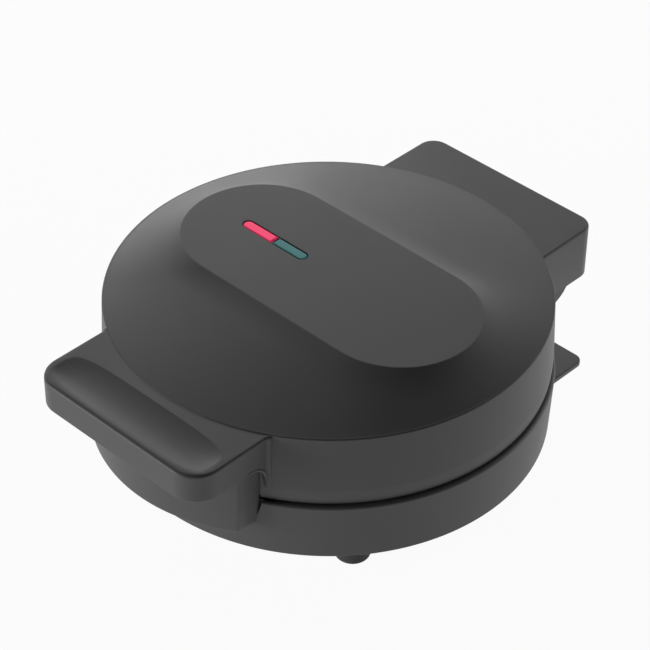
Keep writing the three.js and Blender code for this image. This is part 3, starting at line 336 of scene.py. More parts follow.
def block(size, middle):
    """A plain block of some size round a middle, for a rib or a cutter."""
    bm = bmesh.new()
    bmesh.ops.create_cube(bm, size=1.0)
    bmesh.ops.scale(bm, verts=bm.verts, vec=size)
    return shifted(bm, middle)


def thickened(bm, vec):
    """Make a flat face, or several, a closed form by pushing a copy of it along vec."""
    made = bmesh.ops.extrude_face_region(bm, geom=bm.faces[:], use_keep_orig=True)["geom"]
    ahead = [item for item in made if isinstance(item, bmesh.types.BMVert)]
    bmesh.ops.translate(bm, verts=ahead, vec=vec)
    return bm


def joined(forms, closed=True):
    """One mesh from several forms, of which the closed ones get their faces turned outwards."""
    whole = bmesh.new()
    for form in forms:
        mesh = bpy.data.meshes.new("form")
        if closed:
            bmesh.ops.recalc_face_normals(form, faces=form.faces)
        form.to_mesh(mesh)
        form.free()
        whole.from_mesh(mesh)
        bpy.data.meshes.remove(mesh)
    return whole


def finished(name, bm, body, slot, nodes, crease=SOFT_CREASE, shift=True):
    """A piece from a finished form: shaded, placed, on its body and standing for its solids."""
    bmesh.ops.recalc_face_normals(bm, faces=bm.faces)
    for face in bm.faces:
        face.smooth = True
    for edge in bm.edges:
        if len(edge.link_faces) == 2 and edge.calc_face_angle(0.0) > math.radians(crease):
            edge.smooth = False
    if shift:
        shifted(bm, (0, DRUM_Y, 0))
    mesh = bpy.data.meshes.new(name)
    bm.to_mesh(mesh)
    bm.free()
    mesh.materials.append(FINISHES[slot])
    piece = bpy.data.objects.new(name, mesh)
    bpy.context.scene.collection.objects.link(piece)
    even = piece.modifiers.new("Even shading", "WEIGHTED_NORMAL")
    even.mode = "FACE_AREA"
    even.keep_sharp = True
    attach(piece, body)
    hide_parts(*nodes)


def edge_round(radius, segments=3):
    """Each step outwards round a small convex edge, with the drop that it reaches."""
    before = 0.0
    for k in range(1, segments + 1):
        swing = k / segments * QUARTER
        out = radius * math.sin(swing)
        yield out - before, radius * (1 - math.cos(swing))
        before = out


def slab(outline, low, high, holes=()):
    """A plate standing across X, from an outline in Y and Z, with round holes."""
    for centre_y, centre_z, radius in holes:
        hole = bmesh.ops.create_circle(outline, segments=32, radius=radius, cap_ends=False)["verts"]
        bmesh.ops.rotate(
            outline, verts=hole, cent=(0, 0, 0), matrix=Matrix.Rotation(QUARTER, 3, "Y"),
        )
        bmesh.ops.translate(outline, verts=hole, vec=(0, centre_y, centre_z))
    fill(outline, outline.edges[:], (1, 0, 0))
    shifted(outline, (low, 0, 0))
    return thickened(outline, (high - low, 0, 0))


# ---------------------------------------------------------------------------------------------
# Finishes: shader maths written as expressions
# ---------------------------------------------------------------------------------------------

class Value:
    """A number that varies over a surface."""

    def __init__(self, nodes, socket):
        self.nodes = nodes
        self.socket = socket

    def maths(self, operation, *others):
        return self.nodes.node("ShaderNodeMath", {"operation": operation}, (self, *others))

    def __add__(self, other):
        return self.maths("ADD", other)

    def __radd__(self, other):
        return self.maths("ADD", other)

    def __mul__(self, other):
        return self.maths("MULTIPLY", other)

    def __rmul__(self, other):
        return self.maths("MULTIPLY", other)

    def __sub__(self, other):
        return self.maths("SUBTRACT", other)

    def __rsub__(self, other):
        return self.nodes.node("ShaderNodeMath", {"operation": "SUBTRACT"}, (other, self))


class Nodes:
    """The nodes of a material or a world, which a single method adds."""

    def __init__(self, tree):
        self.tree = tree

    def feed(self, socket, value):
        """Give a socket a link or a plain value."""
        if isinstance(value, Value):
            self.tree.links.new(value.socket, socket)
        elif value is not None:
            socket.default_value = value

    def node(self, kind, settings=None, inputs=(), output=0):
        """Add a node: its settings first, then the values or links of its sockets."""
        made = self.tree.nodes.new(kind)
        for key, value in (settings or {}).items():
            if key == "stops":
                for k, (position, grey) in enumerate(value):
                    ramp = made.color_ramp
                    stop = ramp.elements[k] if k < 2 else ramp.elements.new(position)
                    stop.position = position
                    stop.color = (grey, grey, grey, 1)
            else:
                setattr(made, key, value)
        pairs = inputs.items() if isinstance(inputs, dict) else enumerate(inputs)
        for key, value in pairs:
            self.feed(made.inputs[key], value)
        return Value(self, made.outputs[output])

    def background_rays(self, second):
        """1 for the camera's rays and a second kind, which show the plain background."""
        camera = self.node("ShaderNodeLightPath", {}, (), "Is Camera Ray")
        other = self.node("ShaderNodeLightPath", {}, (), second)
        return camera.maths("MAXIMUM", other)


class Finish(Nodes):
    """One material."""

    def __init__(self, name):
        self.material = bpy.data.materials.new(name)
        self.material.use_nodes = True
        super().__init__(self.material.node_tree)
        self.shader = self.tree.nodes["Principled BSDF"]
        self.place = self.node("ShaderNodeTexCoord", {}, (), "Object")

    def noise(self, size, detail=2.0, roughness=0.5, stretch=None):
        """Noise whose grain is about one size across, in metres."""
        where = self.place
        if stretch:
            where = self.node("ShaderNodeMapping", {}, {"Vector": self.place, "Scale": stretch})
        return self.node("ShaderNodeTexNoise", {}, {
            "Vector": where, "Scale": 1.0 / size, "Detail": detail, "Roughness": roughness,
        })

    def cells(self, size, feature="F1"):
        return self.node("ShaderNodeTexVoronoi", {"feature": feature},
                         {"Vector": self.place, "Scale": 1.0 / size}, "Distance")

    def ramp(self, value, *stops):
        return self.node("ShaderNodeValToRGB", {"stops": stops}, (value,))

    def mix(self, factor, first, second):
        """Mix two colours, whose sockets are the node's seventh and eighth."""
        sockets = {0: factor, 6: first, 7: second}
        return self.node("ShaderNodeMix", {"data_type": "RGBA"}, sockets, 2)

    def bump(self, height, depth, strength=1.0, under=None):
        """Raise the surface by up to depth, in metres."""
        return self.node("ShaderNodeBump", {}, {
            "Strength": strength, "Distance": depth, "Height": height, "Normal": under,
        })

    def edges(self):
        """Near 1 along outer edges and near 0 elsewhere."""
        return self.node("ShaderNodeNewGeometry", {}, (), "Pointiness")

    def set(self, **sockets):
        for key, value in sockets.items():
            self.feed(self.shader.inputs[key.replace("_", " ")], value)
        return self.material


def shade(tint, factor):
    """A tint made darker or paler by a factor."""
    return (tint[0] * factor, tint[1] * factor, tint[2] * factor, 1)


def housing_finish(tint):
    """Soft-touch plastic from a spark-eroded mould: fine grain, faint mottling, paler edges."""
    skin = Finish("Charcoal soft-touch plastic")
    grain = skin.noise(0.42 * MM, 2.0, 0.6)
    fine = skin.noise(0.16 * MM, 1.0)
    cloud = skin.noise(38 * MM, 3.0, 0.55)
    dust = skin.ramp(skin.noise(1.3 * MM, 3.0, 0.7), (0.60, 0.0), (0.78, 1.0))
    worn = skin.ramp(skin.edges(), (0.52, 0.0), (0.60, 1.0))
    body = skin.mix(cloud, shade(tint, 0.93), shade(tint, 1.07))
    speckled = skin.mix((grain - 0.5) * 0.5 + 0.25, body, shade(tint, 1.22))
    dusted = skin.mix(dust * 0.10, speckled, shade(tint, 1.8))
    colour_here = skin.mix(worn * 0.22, dusted, shade(tint, 1.9))
    rough = 0.50 + 0.09 * (cloud - 0.5) + 0.10 * (grain - 0.5) - 0.10 * worn
    raised = skin.bump(0.7 * grain + 0.3 * fine, 0.035 * MM, 0.55)
    return skin.set(Base_Color=colour_here, Roughness=rough, Normal=raised,
                    Specular_IOR_Level=0.5, IOR=1.49)


def coating_finish(tint):
    """Sprayed non-stick coating on a casting: orange peel, tiny bright flakes, dull patches."""
    coat = Finish("Dark non-stick coating")
    peel = coat.noise(0.9 * MM, 3.0, 0.55)
    cloud = coat.noise(26 * MM, 4.0, 0.6)
    flake = coat.ramp(coat.cells(0.55 * MM), (0.06, 1.0), (0.11, 0.0))
    rare = coat.ramp(coat.noise(1.7 * MM, 2.0), (0.56, 0.0), (0.62, 1.0))
    base = coat.mix(cloud, shade(tint, 0.86), shade(tint, 1.2))
    flecked = coat.mix(flake * rare * 0.55, base, (0.32, 0.32, 0.33, 1))
    rough = 0.36 + 0.14 * cloud + 0.06 * peel
    return coat.set(Base_Color=flecked, Roughness=rough, Normal=coat.bump(peel, 0.05 * MM, 0.5),
                    Metallic=0.0, Coat_Weight=0.12 * cloud, Coat_Roughness=0.3)


def element_finish(tint):
    """Steel sheath, darkened and mottled by heat."""
    sheath = Finish("Oxidised sheath")
    bands = sheath.noise(9 * MM, 4.0, 0.65)
    pits = sheath.noise(0.5 * MM, 2.0)
    hue = sheath.mix(bands, shade(tint, 0.7), (0.22, 0.19, 0.15, 1))
    return sheath.set(Base_Color=sheath.mix(pits * 0.4, hue, shade(tint, 1.6)), Metallic=0.75,
                      Roughness=0.42 + 0.25 * bands, Normal=sheath.bump(pits, 0.02 * MM, 0.5))


def zinc_finish(tint):
    """Zinc plate with a faint yellow bloom and fine rolling lines."""
    plate = Finish("Zinc-plated steel")
    bloom = plate.noise(4 * MM, 4.0, 0.6)
    lines = plate.noise(0.35 * MM, 2.0, 0.5, (1.0, 0.08, 1.0))
    hue = plate.mix(bloom, shade(tint, 0.82), (0.60, 0.57, 0.48, 1))
    return plate.set(Base_Color=hue, Metallic=1.0, Roughness=0.28 + 0.2 * bloom + 0.08 * lines,
                     Normal=plate.bump(lines, 0.008 * MM, 0.5))


def rubber_finish(tint):
    """Moulded rubber with a powdery bloom, darker where it stands on the table: partly scuffing, partly painted
    contact shadow.
    """
    rubber = Finish("Moulded rubber")
    bloom = rubber.noise(2.2 * MM, 4.0, 0.65)
    skin = rubber.noise(0.25 * MM, 2.0)
    height = rubber.node("ShaderNodeSeparateXYZ", {}, (rubber.place,), "Z")
    # Darker below about 1.5 mm in height: scuffing of the sole and a painted shadow where it meets the table.
    clear_of_scuff_and_painted_shade = rubber.ramp(height * 400.0 + 0.06 * (bloom - 0.5), (0.35, 0.0), (0.62, 1.0))
    hue = rubber.mix(bloom, shade(tint, 0.88), shade(tint, 1.16))
    # The bloom's colour goes near black at the sole, from the scuffing and the painted contact shadow.
    worn = rubber.mix(clear_of_scuff_and_painted_shade, shade(tint, 0.25), hue)
    return rubber.set(Base_Color=worn, Roughness=0.66 + 0.16 * bloom,
                      Normal=rubber.bump(skin, 0.03 * MM, 0.6), Specular_IOR_Level=0.4)


def lens_finish(name, tint, deep, glow):
    """Tinted plastic over a fine diffusing pattern, with some light behind it, painted dimmer on the bevels as
    their shade.
    """
    lens = Finish(name)
    ribs = lens.node("ShaderNodeTexWave", {"bands_direction": "X"},
                     {"Vector": lens.place, "Scale": 420.0, "Distortion": 0.0})
    depth = lens.noise(5 * MM, 3.0, 0.5)
    hue = lens.mix(0.25 + 0.5 * depth, tint, deep)
    lined = lens.mix(ribs * 0.12, hue, shade(tint, 1.15))
    upright = lens.node("ShaderNodeSeparateXYZ", {},
                        (lens.node("ShaderNodeTexCoord", {}, (), "Normal"),), "Z")
    # Painted shade: the glow dims where the lens tilts away from straight up, on its bevels.
    crest = lens.ramp(upright, (0.62, 0.0), (0.97, 1.0))
    glowing = lens.mix(0.3 + 0.4 * depth, shade(glow, 0.9), shade(glow, 0.75))
    lit = lens.mix(crest, shade(glow, 0.3), glowing)
    return lens.set(Base_Color=lined, Roughness=0.42 + 0.08 * depth, Specular_IOR_Level=0.25,
                    Normal=lens.bump(ribs, 0.01 * MM, 0.3), Emission_Color=lit,
                    Emission_Strength=1.0)


def pale_finish(name, tint, fleck, rough):
    """Pale moulded or fired material with soft flecks."""
    pale = Finish(name)
    cloud = pale.noise(3.5 * MM, 4.0, 0.6)
    speck = pale.ramp(pale.noise(0.5 * MM, 3.0, 0.7), (0.58, 0.0), (0.70, 1.0))
    hue = pale.mix(speck * 0.35, pale.mix(cloud, shade(tint, 0.9), shade(tint, 1.06)), fleck)
    return pale.set(Base_Color=hue, Roughness=rough + 0.1 * cloud,
                    Normal=pale.bump(cloud, 0.02 * MM, 0.4))


FINISHES = {}


def make_finishes(colours):
    FINISHES.update(
        housing=housing_finish(colours.housing),
        plate_coating=coating_finish(colours.coating),
        element_sheath=element_finish(colours.element),
        zinc_steel=zinc_finish(colours.zinc),
        rubber=rubber_finish(colours.rubber),
        red_lens=lens_finish(
            "Red lens", colours.power, shade(colours.power, 0.85), colours.power_glow,
        ),
        green_lens=lens_finish(
            "Dark green lens", colours.ready, shade(colours.ready, 0.75),
            shade(colours.ready, 0.02),
        ),
        white_nylon=pale_finish("Natural nylon", colours.nylon, shade(colours.nylon, 0.85), 0.45),
        ceramic=pale_finish("Unglazed ceramic", colours.ceramic, (0.35, 0.30, 0.24, 1), 0.7),
        lamp_glass=pale_finish("Lamp glass", colours.lamp, shade(colours.lamp, 1.2), 0.12),
    )


# ---------------------------------------------------------------------------------------------
# Lid moulding
# ---------------------------------------------------------------------------------------------

# Growth and drop of the rings that ease the panel's edge.
PANEL_EASE = ((0.12 * MM, 0.075 * MM), (-0.16 * MM, 0.018 * MM), (-0.5 * MM, 0.0))
# Inset and drop of the rings that ease the slot's edge, and how much wider they start.
SLOT_EASE = ((0.17 * MM, 0.07 * MM), (0.08 * MM, 0.25 * MM))
SLOT_GROWTH = 0.25 * MM
# Where the rings of the hollow lie, as shares of its width, outside and inside.
OUTER_HOLLOW = (0.84, 0.68, 0.54, 0.42, 0.31, 0.21, 0.13, 0.07, 0.04)
INNER_HOLLOW = (0.6, 0.25)
# The lip's inner face lies this far inside the rim, and its flat strip reaches in this far.
MOUTH_INSET = 2.7 * MM
RIM_LAND = 0.6 * MM
LIP_STEPS = 10


def crown_top(lid):
    """Height of the raised panel."""
    return lid.rim_height + lid.cone_rise + lid.fillet_rise


def panel_edge(lid, angle, grow):
    """Distance from the axis to the round-ended panel, grown by some amount, in one direction."""
    half_width = lid.panel_half_width + grow
    end_centre = lid.panel_half_length - lid.panel_half_width
    across = abs(math.sin(angle))
    along = abs(math.cos(angle))
    side = half_width / max(across, 1e-9)
    if side * along <= end_centre:
        return side
    return end_centre * along + math.sqrt(half_width ** 2 - (end_centre * across) ** 2)


def crown_point(lid, angle, radius, off, inset):
    """A point of the crown at a radius, where off is its distance from the panel's edge."""
    cone_radius = lid.rim_radius - lid.edge - inset
    climb = (cone_radius - radius) / (cone_radius - panel_edge(lid, angle, 0))
    hollow = max(0.0, 1 - off / lid.fillet)
    height = lid.rim_height - inset + lid.cone_rise * climb + lid.fillet_rise * hollow ** 2
    return Vector((radius * math.cos(angle), radius * math.sin(angle), height))


def crown(bm, lid, loop, inset, cone_steps, hollow_shares):
    """Climb from the rim to the panel: the low cone, then the hollow, then the eased edge."""
    cone_radius = lid.rim_radius - lid.edge - inset

    def cone_ring(share):
        def place(co):
            angle = math.atan2(co.y, co.x)
            foot = panel_edge(lid, angle, lid.fillet)
            radius = cone_radius + (foot - cone_radius) * share
            return crown_point(lid, angle, radius, lid.fillet, inset)
        return place

    def hollow_ring(share):
        def place(co):
            angle = math.atan2(co.y, co.x)
            off = share * lid.fillet
            return crown_point(lid, angle, panel_edge(lid, angle, off), off, inset)
        return place

    def edge_ring(grow, drop):
        def place(co):
            angle = math.atan2(co.y, co.x)
            radius = panel_edge(lid, angle, grow)
            height = crown_top(lid) - inset - drop
            return Vector((radius * math.cos(angle), radius * math.sin(angle), height))
        return place

    for k in range(cone_steps):
        loop = ring_on(bm, loop, cone_ring((k + 1) / cone_steps))
    for share in hollow_shares:
        loop = ring_on(bm, loop, hollow_ring(share))
    for grow, drop in PANEL_EASE:
        loop = ring_on(bm, loop, edge_ring(grow, drop))


def lid_profile(lid):
    """Half section of the drum wall, from the rim round the lip and up again inside."""
    rim = lid.rim_radius
    bottom = LID_LOW.z
    cone_radius = rim - lid.edge
    lip_top = bottom + lid.lip_height
    foot = bottom - lid.lip_dip
    swings = [k / LIP_STEPS * QUARTER for k in range(LIP_STEPS + 1)]
    lip = [(rim + lid.flare - lid.lip_curl * (1 - math.cos(swing)),
            lip_top - (lip_top - foot) * math.sin(swing)) for swing in swings]
    mouth = rim - MOUTH_INSET
    ledge = bottom + lid.wall
    inside = [(mouth, foot), (mouth, ledge), (rim + lid.flare - 1.2 * lid.wall, ledge),
              (cone_radius - lid.wall, lid.rim_height - lid.wall)]
    return section([(cone_radius - RIM_LAND, lid.rim_height), (rim, lid.rim_height)] + lip + inside,
                   [(1, lid.edge, 4)])


def lens_slot(lid, size):
    """The slot for the lenses, with eased edges, which goes right through the panel."""
    top = crown_top(lid)
    middle = (size.start + size.end) / 2
    half_length = (size.end - size.start) / 2

    def shrink(off, drop):
        def place(co):
            return Vector((middle + (co.x - middle) * (1 - off / half_length),
                           co.y * (1 - off / size.half_width), top - drop))
        return place

    slot = bmesh.new()
    obround(slot, middle, half_length + SLOT_GROWTH, size.half_width + SLOT_GROWTH, top)
    loop = slot.edges[:]
    for off, drop in SLOT_EASE + ((0.0, lid.wall),):
        loop = ring_on(slot, loop, shrink(off, drop))
    return slot


def lid_shell(lid, slot_sizes):
    """Drum wall, crown and panel, with the slot for the lenses."""
    shell = turned(lid_profile(lid), lid.steps)
    outer = edges_at(shell, lid.rim_height)
    inner = edges_at(shell, lid.rim_height - lid.wall)
    crown(shell, lid, outer, 0.0, 5, OUTER_HOLLOW)
    crown(shell, lid, inner, lid.wall, 2, INNER_HOLLOW)
    whole = joined([shell, lens_slot(lid, slot_sizes)], closed=False)
    fill(whole, edges_at(whole, crown_top(lid)))
    fill(whole, edges_at(whole, crown_top(lid) - lid.wall), (0, 0, -1))
    bmesh.ops.remove_doubles(whole, verts=whole.verts, dist=MERGE)
    return whole


def obround(bm, middle, half_length, half_width, height, steps=12):
    """A round-ended outline lying along X."""
    low, high = middle - half_length, middle + half_length
    chain(bm, [(low, -half_width, height), (high, -half_width, height),
               (high, half_width, height), (low, half_width, height)],
          [(k, half_width * FULL_ROUND, steps) for k in range(4)], closed=True)
    bmesh.ops.remove_doubles(bm, verts=bm.verts, dist=FULL_ROUND_MERGE)


def tongue_out(co, half_width, reach, corner, sign):
    """Direction outwards from a tongue-shaped outline whose far end points along sign * Y."""
    inner_x = half_width - corner
    inner_y = reach - corner
    x = max(abs(co.x) - inner_x, 0.0)
    y = max(sign * co.y - inner_y, 0.0)
    if x == 0 and y == 0:
        return Vector((math.copysign(1, co.x), 0, 0))
    return Vector((math.copysign(x, co.x), sign * y, 0)).normalized()


def tongue_steps(half_width, reach, corner, sign):
    """Moves for the rings of a tongue-shaped form: outwards, to a height or a height by place."""
    def outwards(off, height):
        def place(co):
            way = tongue_out(co, half_width, reach, corner, sign)
            level = height(co) if callable(height) else height
            return Vector((co.x + way.x * off, co.y + way.y * off, level))
        return place
    return outwards


# The scoop's outline is a superellipse, and its depth falls off towards its two ends.
SCOOP_SQUARENESS = 4.5
SCOOP_END_FALL = 7
# The scoop's bottom curves up more slowly in front of this share of its half width.
SCOOP_SOFT = 0.76
SCOOP_RINGS = (0.985, 0.965, 0.94, 0.91, 0.87, 0.82, 0.76, 0.69, 0.61, 0.52, 0.42, 0.31, 0.2, 0.1)


def scoop_share(across):
    """Depth of the scoop across its width: crisp at the rear, at +1, and soft in front, at -1."""
    if across > -SCOOP_SOFT:
        return 1 - across ** 2 * (1 if across > 0 else 1 / SCOOP_SOFT)
    return (1 + across) ** 2 / (1 - SCOOP_SOFT)


def scoop_middle(handle):
    return -(handle.scoop_rear + handle.scoop_front) / 2


def scoop_half_width(handle):
    return (handle.scoop_front - handle.scoop_rear) / 2


def sink_scoop(bm, handle, rim, top):
    """Fill a round-cornered outline with a shallow hollow."""
    middle = scoop_middle(handle)
    half_width = scoop_half_width(handle)

    def hollow(scale):
        def place(co):
            along = abs(co.x) * scale / handle.scoop_half_length
            across = (co.y - middle) * scale / half_width
            edge = max(1e-3, 1 - along ** SCOOP_SQUARENESS) ** (1 / SCOOP_SQUARENESS)
            share = scoop_share(max(-1.0, min(1.0, across / edge)))
            depth = handle.scoop_depth * share * (1 - along ** SCOOP_END_FALL)
            return Vector((co.x * scale, middle + across * half_width, top - depth))
        return place

    loop, before = rim, 1.0
    for size in SCOOP_RINGS:
        loop = ring_on(bm, loop, hollow(size / before))
        before = size
    fill(bm, loop)


def scoop_outline(bm, handle, top):
    """The round-cornered outline of the scoop."""
    half_width = scoop_half_width(handle)
    circle = bmesh.ops.create_circle(bm, segments=128, radius=1.0, cap_ends=False)["verts"]
    power = 2 / SCOOP_SQUARENESS
    for point in circle:
        x, y = point.co.x, point.co.y
        point.co = Vector((
            handle.scoop_half_length * math.copysign(abs(x) ** power, x),
            scoop_middle(handle) + half_width * math.copysign(abs(y) ** power, y),
            top,
        ))
    return list({edge for point in circle for edge in point.link_edges})


# The handle and the hinge block start inside the drum wall, this far behind or ahead of its axis.
DRUM_INSIDE = 90 * MM
ARCH_STEPS = 10
FILLET_STEPS = 6
TOP_ROUND_STEPS = 6
# Radius and steps of the round along the handle's lower edge.
LOWER_EASE = 0.5 * MM
LOWER_EASE_STEPS = 4


def handle_levels(lid, handle):
    """Heights of the handle's top, the foot of its front wall and the roof of its hollow."""
    top = lid.rim_height - handle.drop
    return top, top - handle.thickness, top - handle.scoop_depth - handle.roof


def handle_outline(bm, lid, handle, arch_y, top):
    """Outline of the grip, with a hollow where each side meets the drum."""
    half, hollow = handle.half_width, handle.fillet
    fillet_x = half + hollow
    fillet_y = -math.sqrt((lid.rim_radius + lid.flare + hollow) ** 2 - fillet_x ** 2)
    spread = math.atan2(-fillet_y, fillet_x)
    right = [(fillet_x - hollow * math.cos(spread), -DRUM_INSIDE, top)]
    right += [(fillet_x - hollow * math.cos(spread * k / FILLET_STEPS),
               fillet_y + hollow * math.sin(spread * k / FILLET_STEPS), top)
              for k in range(FILLET_STEPS, -1, -1)]
    if fillet_y > arch_y:
        right.append((half, arch_y + 0.02 * MM, top))
    right += [(half, arch_y - handle.arch * (1 - math.cos(k * QUARTER / ARCH_STEPS)), top)
              for k in range(ARCH_STEPS + 1)]
    right = [point for k, point in enumerate(right) if k == 0 or point[1] < right[k - 1][1]]
    left = [(-x, y, z) for x, y, z in reversed(right)]
    front = [(half, -handle.reach, top), (-half, -handle.reach, top)]
    chain(bm, right + front + left,
          [(len(right), handle.corner, 16), (len(right) + 1, handle.corner, 16)], closed=True)


def front_handle(lid, handle):
    """Grip with its scoop on top, and a skirt that turns down beside the drum in two arches."""
    top, under, roof = handle_levels(lid, handle)
    lip_top = LID_LOW.z + lid.skirt_height
    wall_radius = lid.rim_radius + lid.flare
    arch_y = -math.sqrt(wall_radius ** 2 - handle.half_width ** 2) - handle.flange
    tongue = (handle.half_width, handle.reach, handle.corner, -1)
    outwards = tongue_steps(*tongue)

    def edge_at(way):
        return handle.side_edge + (handle.front_edge - handle.side_edge) * way.y ** 2

    def bottom(co):
        y = co.y
        if y < arch_y - handle.arch:
            return under
        if y < arch_y + SAME_LEVEL:
            across = min(1.0, (y - arch_y + handle.arch) / handle.arch)
            return under - handle.arch + handle.arch * math.sqrt(1 - across ** 2)
        return lip_top

    def round_top(swing, before):
        def place(co):
            way = tongue_out(co, *tongue)
            radius = edge_at(way)
            moved_out = co + way * radius * (math.sin(swing) - math.sin(before))
            moved_out.z = top - radius * (1 - math.cos(swing))
            return moved_out
        return place

    bm = bmesh.new()
    handle_outline(bm, lid, handle, arch_y, top)
    for point in bm.verts:
        way = tongue_out(point.co, *tongue)
        point.co -= way * edge_at(way)
    outline = bm.edges[:]
    loop = bm.edges[:]
    for k in range(TOP_ROUND_STEPS):
        loop = ring_on(bm, loop, round_top((k + 1) / TOP_ROUND_STEPS * QUARTER,
                                           k / TOP_ROUND_STEPS * QUARTER))
    before = 0.0
    for k in range(LOWER_EASE_STEPS + 1):
        swing = k * QUARTER / LOWER_EASE_STEPS
        step = LOWER_EASE * (math.cos(before) - math.cos(swing))
        lift = LOWER_EASE * (1 - math.sin(swing))
        loop = ring_on(bm, loop, outwards(-step, lambda co: bottom(co) + lift))
        before = swing
    loop = ring_on(bm, loop, outwards(-handle.wall + 2 * LOWER_EASE, bottom))
    loop = ring_on(bm, loop, outwards(-LOWER_EASE, lambda co: bottom(co) + LOWER_EASE))
    loop = ring_on(bm, loop, outwards(0.0, roof))
    fill(bm, loop, (0, 0, -1))
    rim = scoop_outline(bm, handle, top)
    fill(bm, outline + rim)
    sink_scoop(bm, handle, rim, top)
    for side in (-1, 1):
        arch_bead(bm, handle, side, arch_y - handle.arch, under - handle.arch, lip_top)
    return bm


def arch_bead(bm, handle, side, middle_y, middle_z, foot):
    """A soft bead round the arch of one skirt, run along a quarter circle and down to the lip."""
    # The bead's middle lies beyond the arch and inside the skirt's face by these shares of its
    # radius.
    beyond_arch, inside_face = 0.8, 0.75
    radius = handle.arch + handle.bead * beyond_arch
    x = side * (handle.half_width - inside_face * handle.bead)
    # The bead starts a little inside the grip's underside and turns down in steps of 8 degrees.
    turns = [math.radians(96 - 8 * k) for k in range(13)]
    path = [(turn, Vector((0, middle_y + radius * math.cos(turn),
                           middle_z + radius * math.sin(turn)))) for turn in turns]
    path.append((0.0, Vector((0, middle_y + radius, foot + handle.bead))))
    first, start = path[0]
    upright = Matrix.Translation((x, start.y, start.z)) @ Matrix.Rotation(first, 4, "X")
    ring = bmesh.ops.create_circle(bm, cap_ends=False, segments=10, radius=handle.bead,
                                   matrix=upright)["verts"]
    loop = list({edge for vert in ring for edge in vert.link_edges})
    fill(bm, loop, (0, -1, 0))
    for (before, behind), (turn, ahead) in zip(path, path[1:]):
        swing = Matrix.Rotation(turn - before, 3, "X")
        loop = ring_on(bm, loop, lambda co: Vector((co.x, 0, 0)) + ahead
                       + swing @ (Vector((0, co.y, co.z)) - behind))
    fill(bm, loop, (0, 0, -1))


def grip_ribs(lid, handle):
    """Short ribs behind the front wall, under the grip."""
    width, depth, pitch, ease = 1.8 * MM, 10.4 * MM, 19 * MM, 0.3 * MM
    middle_y = -131 * MM
    sunk = 0.4 * MM
    above_foot = 1.0 * MM
    _, under, top = handle_levels(lid, handle)
    under += above_foot
    ribs = []
    for k in range(-2, 3):
        rib = block((width, depth, top - under + sunk), (k * pitch, middle_y, (top + under) / 2))
        bmesh.ops.bevel(rib, geom=rib.edges[:], affect="EDGES", offset=ease, segments=2,
                        profile=0.5, material=-1)
        ribs.append(rib)
    return ribs


def hinge_block(lid, hinge):
    """The block behind the drum, open below and, under its back wall, behind."""
    top = lid.rim_height - hinge.drop
    above_base, straight, before_corner = 8 * MM, 10 * MM, 2 * MM
    under = BASE_TOP + above_base
    reach, corner, edge = hinge.reach, hinge.corner, hinge.edge
    heel_y = reach - hinge.heel
    window_z = HINGE_Z + hinge.window
    inner = hinge.half_width - hinge.wall
    # Two cuts this far apart make the steep side of the window. The slack takes in the inner one.
    window_side, slack = 0.06 * MM, 0.02 * MM

    def bottom(co):
        if abs(co.x) < inner + slack and co.y > reach - corner:
            return window_z
        if co.y > heel_y:
            across = min(1.0, (co.y - heel_y) / hinge.heel)
            return under + hinge.heel * (1 - math.sqrt(max(0.0, 1 - across ** 2)))
        return under

    bm = bmesh.new()
    near = hinge.half_width - edge
    far = reach - edge
    sides = [DRUM_INSIDE, DRUM_INSIDE + straight, reach - corner - before_corner]
    chain(bm, [(near, y, top) for y in sides] + [(near, far, top), (-near, far, top)]
          + [(-near, y, top) for y in reversed(sides)],
          [(3, corner - edge, 14), (4, corner - edge, 14)], closed=True)
    outwards = tongue_steps(near, far, corner - edge, 1)
    loop = bm.edges[:]
    for step, drop in edge_round(edge, 4):
        loop = ring_on(bm, loop, outwards(step, top - drop))
    for plane in (inner, inner + window_side):
        for side in (-1, 1):
            bmesh.ops.bisect_plane(
                bm, geom=bm.verts[:] + bm.edges[:] + bm.faces[:], dist=MERGE,
                plane_co=(side * plane, 0, 0), plane_no=(1, 0, 0),
            )
    outline = edges_at(bm, top)
    loop = ring_on(bm, edges_at(bm, top - edge), outwards(0.0, bottom))
    loop = ring_on(bm, loop, outwards(-hinge.wall, lambda co: co.z))
    loop = ring_on(bm, loop, outwards(0.0, top - hinge.wall))
    fill(bm, loop, (0, 0, -1))
    fill(bm, outline)
    return bm


def hinge_lugs(lid, hinge):
    """The lid's four lugs, one at each side of each ear."""
    roof = lid.rim_height - hinge.drop - hinge.wall / 2
    near_y, far_y = HINGE_Y - hinge.lug, HINGE_Y + hinge.lug
    low = HINGE_Z - hinge.lug
    # The two rounds stay just short of meeting at the bottom.
    bottom_round = hinge.lug * 0.999
    play = 0.3 * MM
    hole = (HINGE_Y, HINGE_Z, hinge.pin + play)
    lugs = []
    for start in (hinge.ear_inside - hinge.side_gap - hinge.lug_width,
                  hinge.ear_inside + hinge.ear_width + hinge.side_gap):
        for side in (-1, 1):
            outline = bmesh.new()
            chain(outline, [(0, near_y, roof), (0, near_y, low), (0, far_y, low), (0, far_y, roof)],
                  [(1, bottom_round, 10), (2, bottom_round, 10)], closed=True)
            left, right = sorted((side * start, side * (start + hinge.lug_width)))
            lugs.append(slab(outline, left, right, [hole]))
    return lugs


class BuildLidMoulding(bpy.types.Operator):
    """Build the lid: drum wall, crown with its panel, handle with its scoop, and hinge block"""

    bl_idname = "donut_maker.lid_moulding"
    bl_label = "Lid moulding"

    def execute(self, context):
        sizes = context.scene
        lid, handle, hinge = sizes.donut_lid, sizes.donut_handle, sizes.donut_hinge
        forms = [lid_shell(lid, sizes.donut_indicator), front_handle(lid, handle),
                 hinge_block(lid, hinge)]
        forms += grip_ribs(lid, handle) + hinge_lugs(lid, hinge)
        finished("lid_moulding", joined(forms), "lid", "housing", ["lid_housing"])
        return {"FINISHED"}


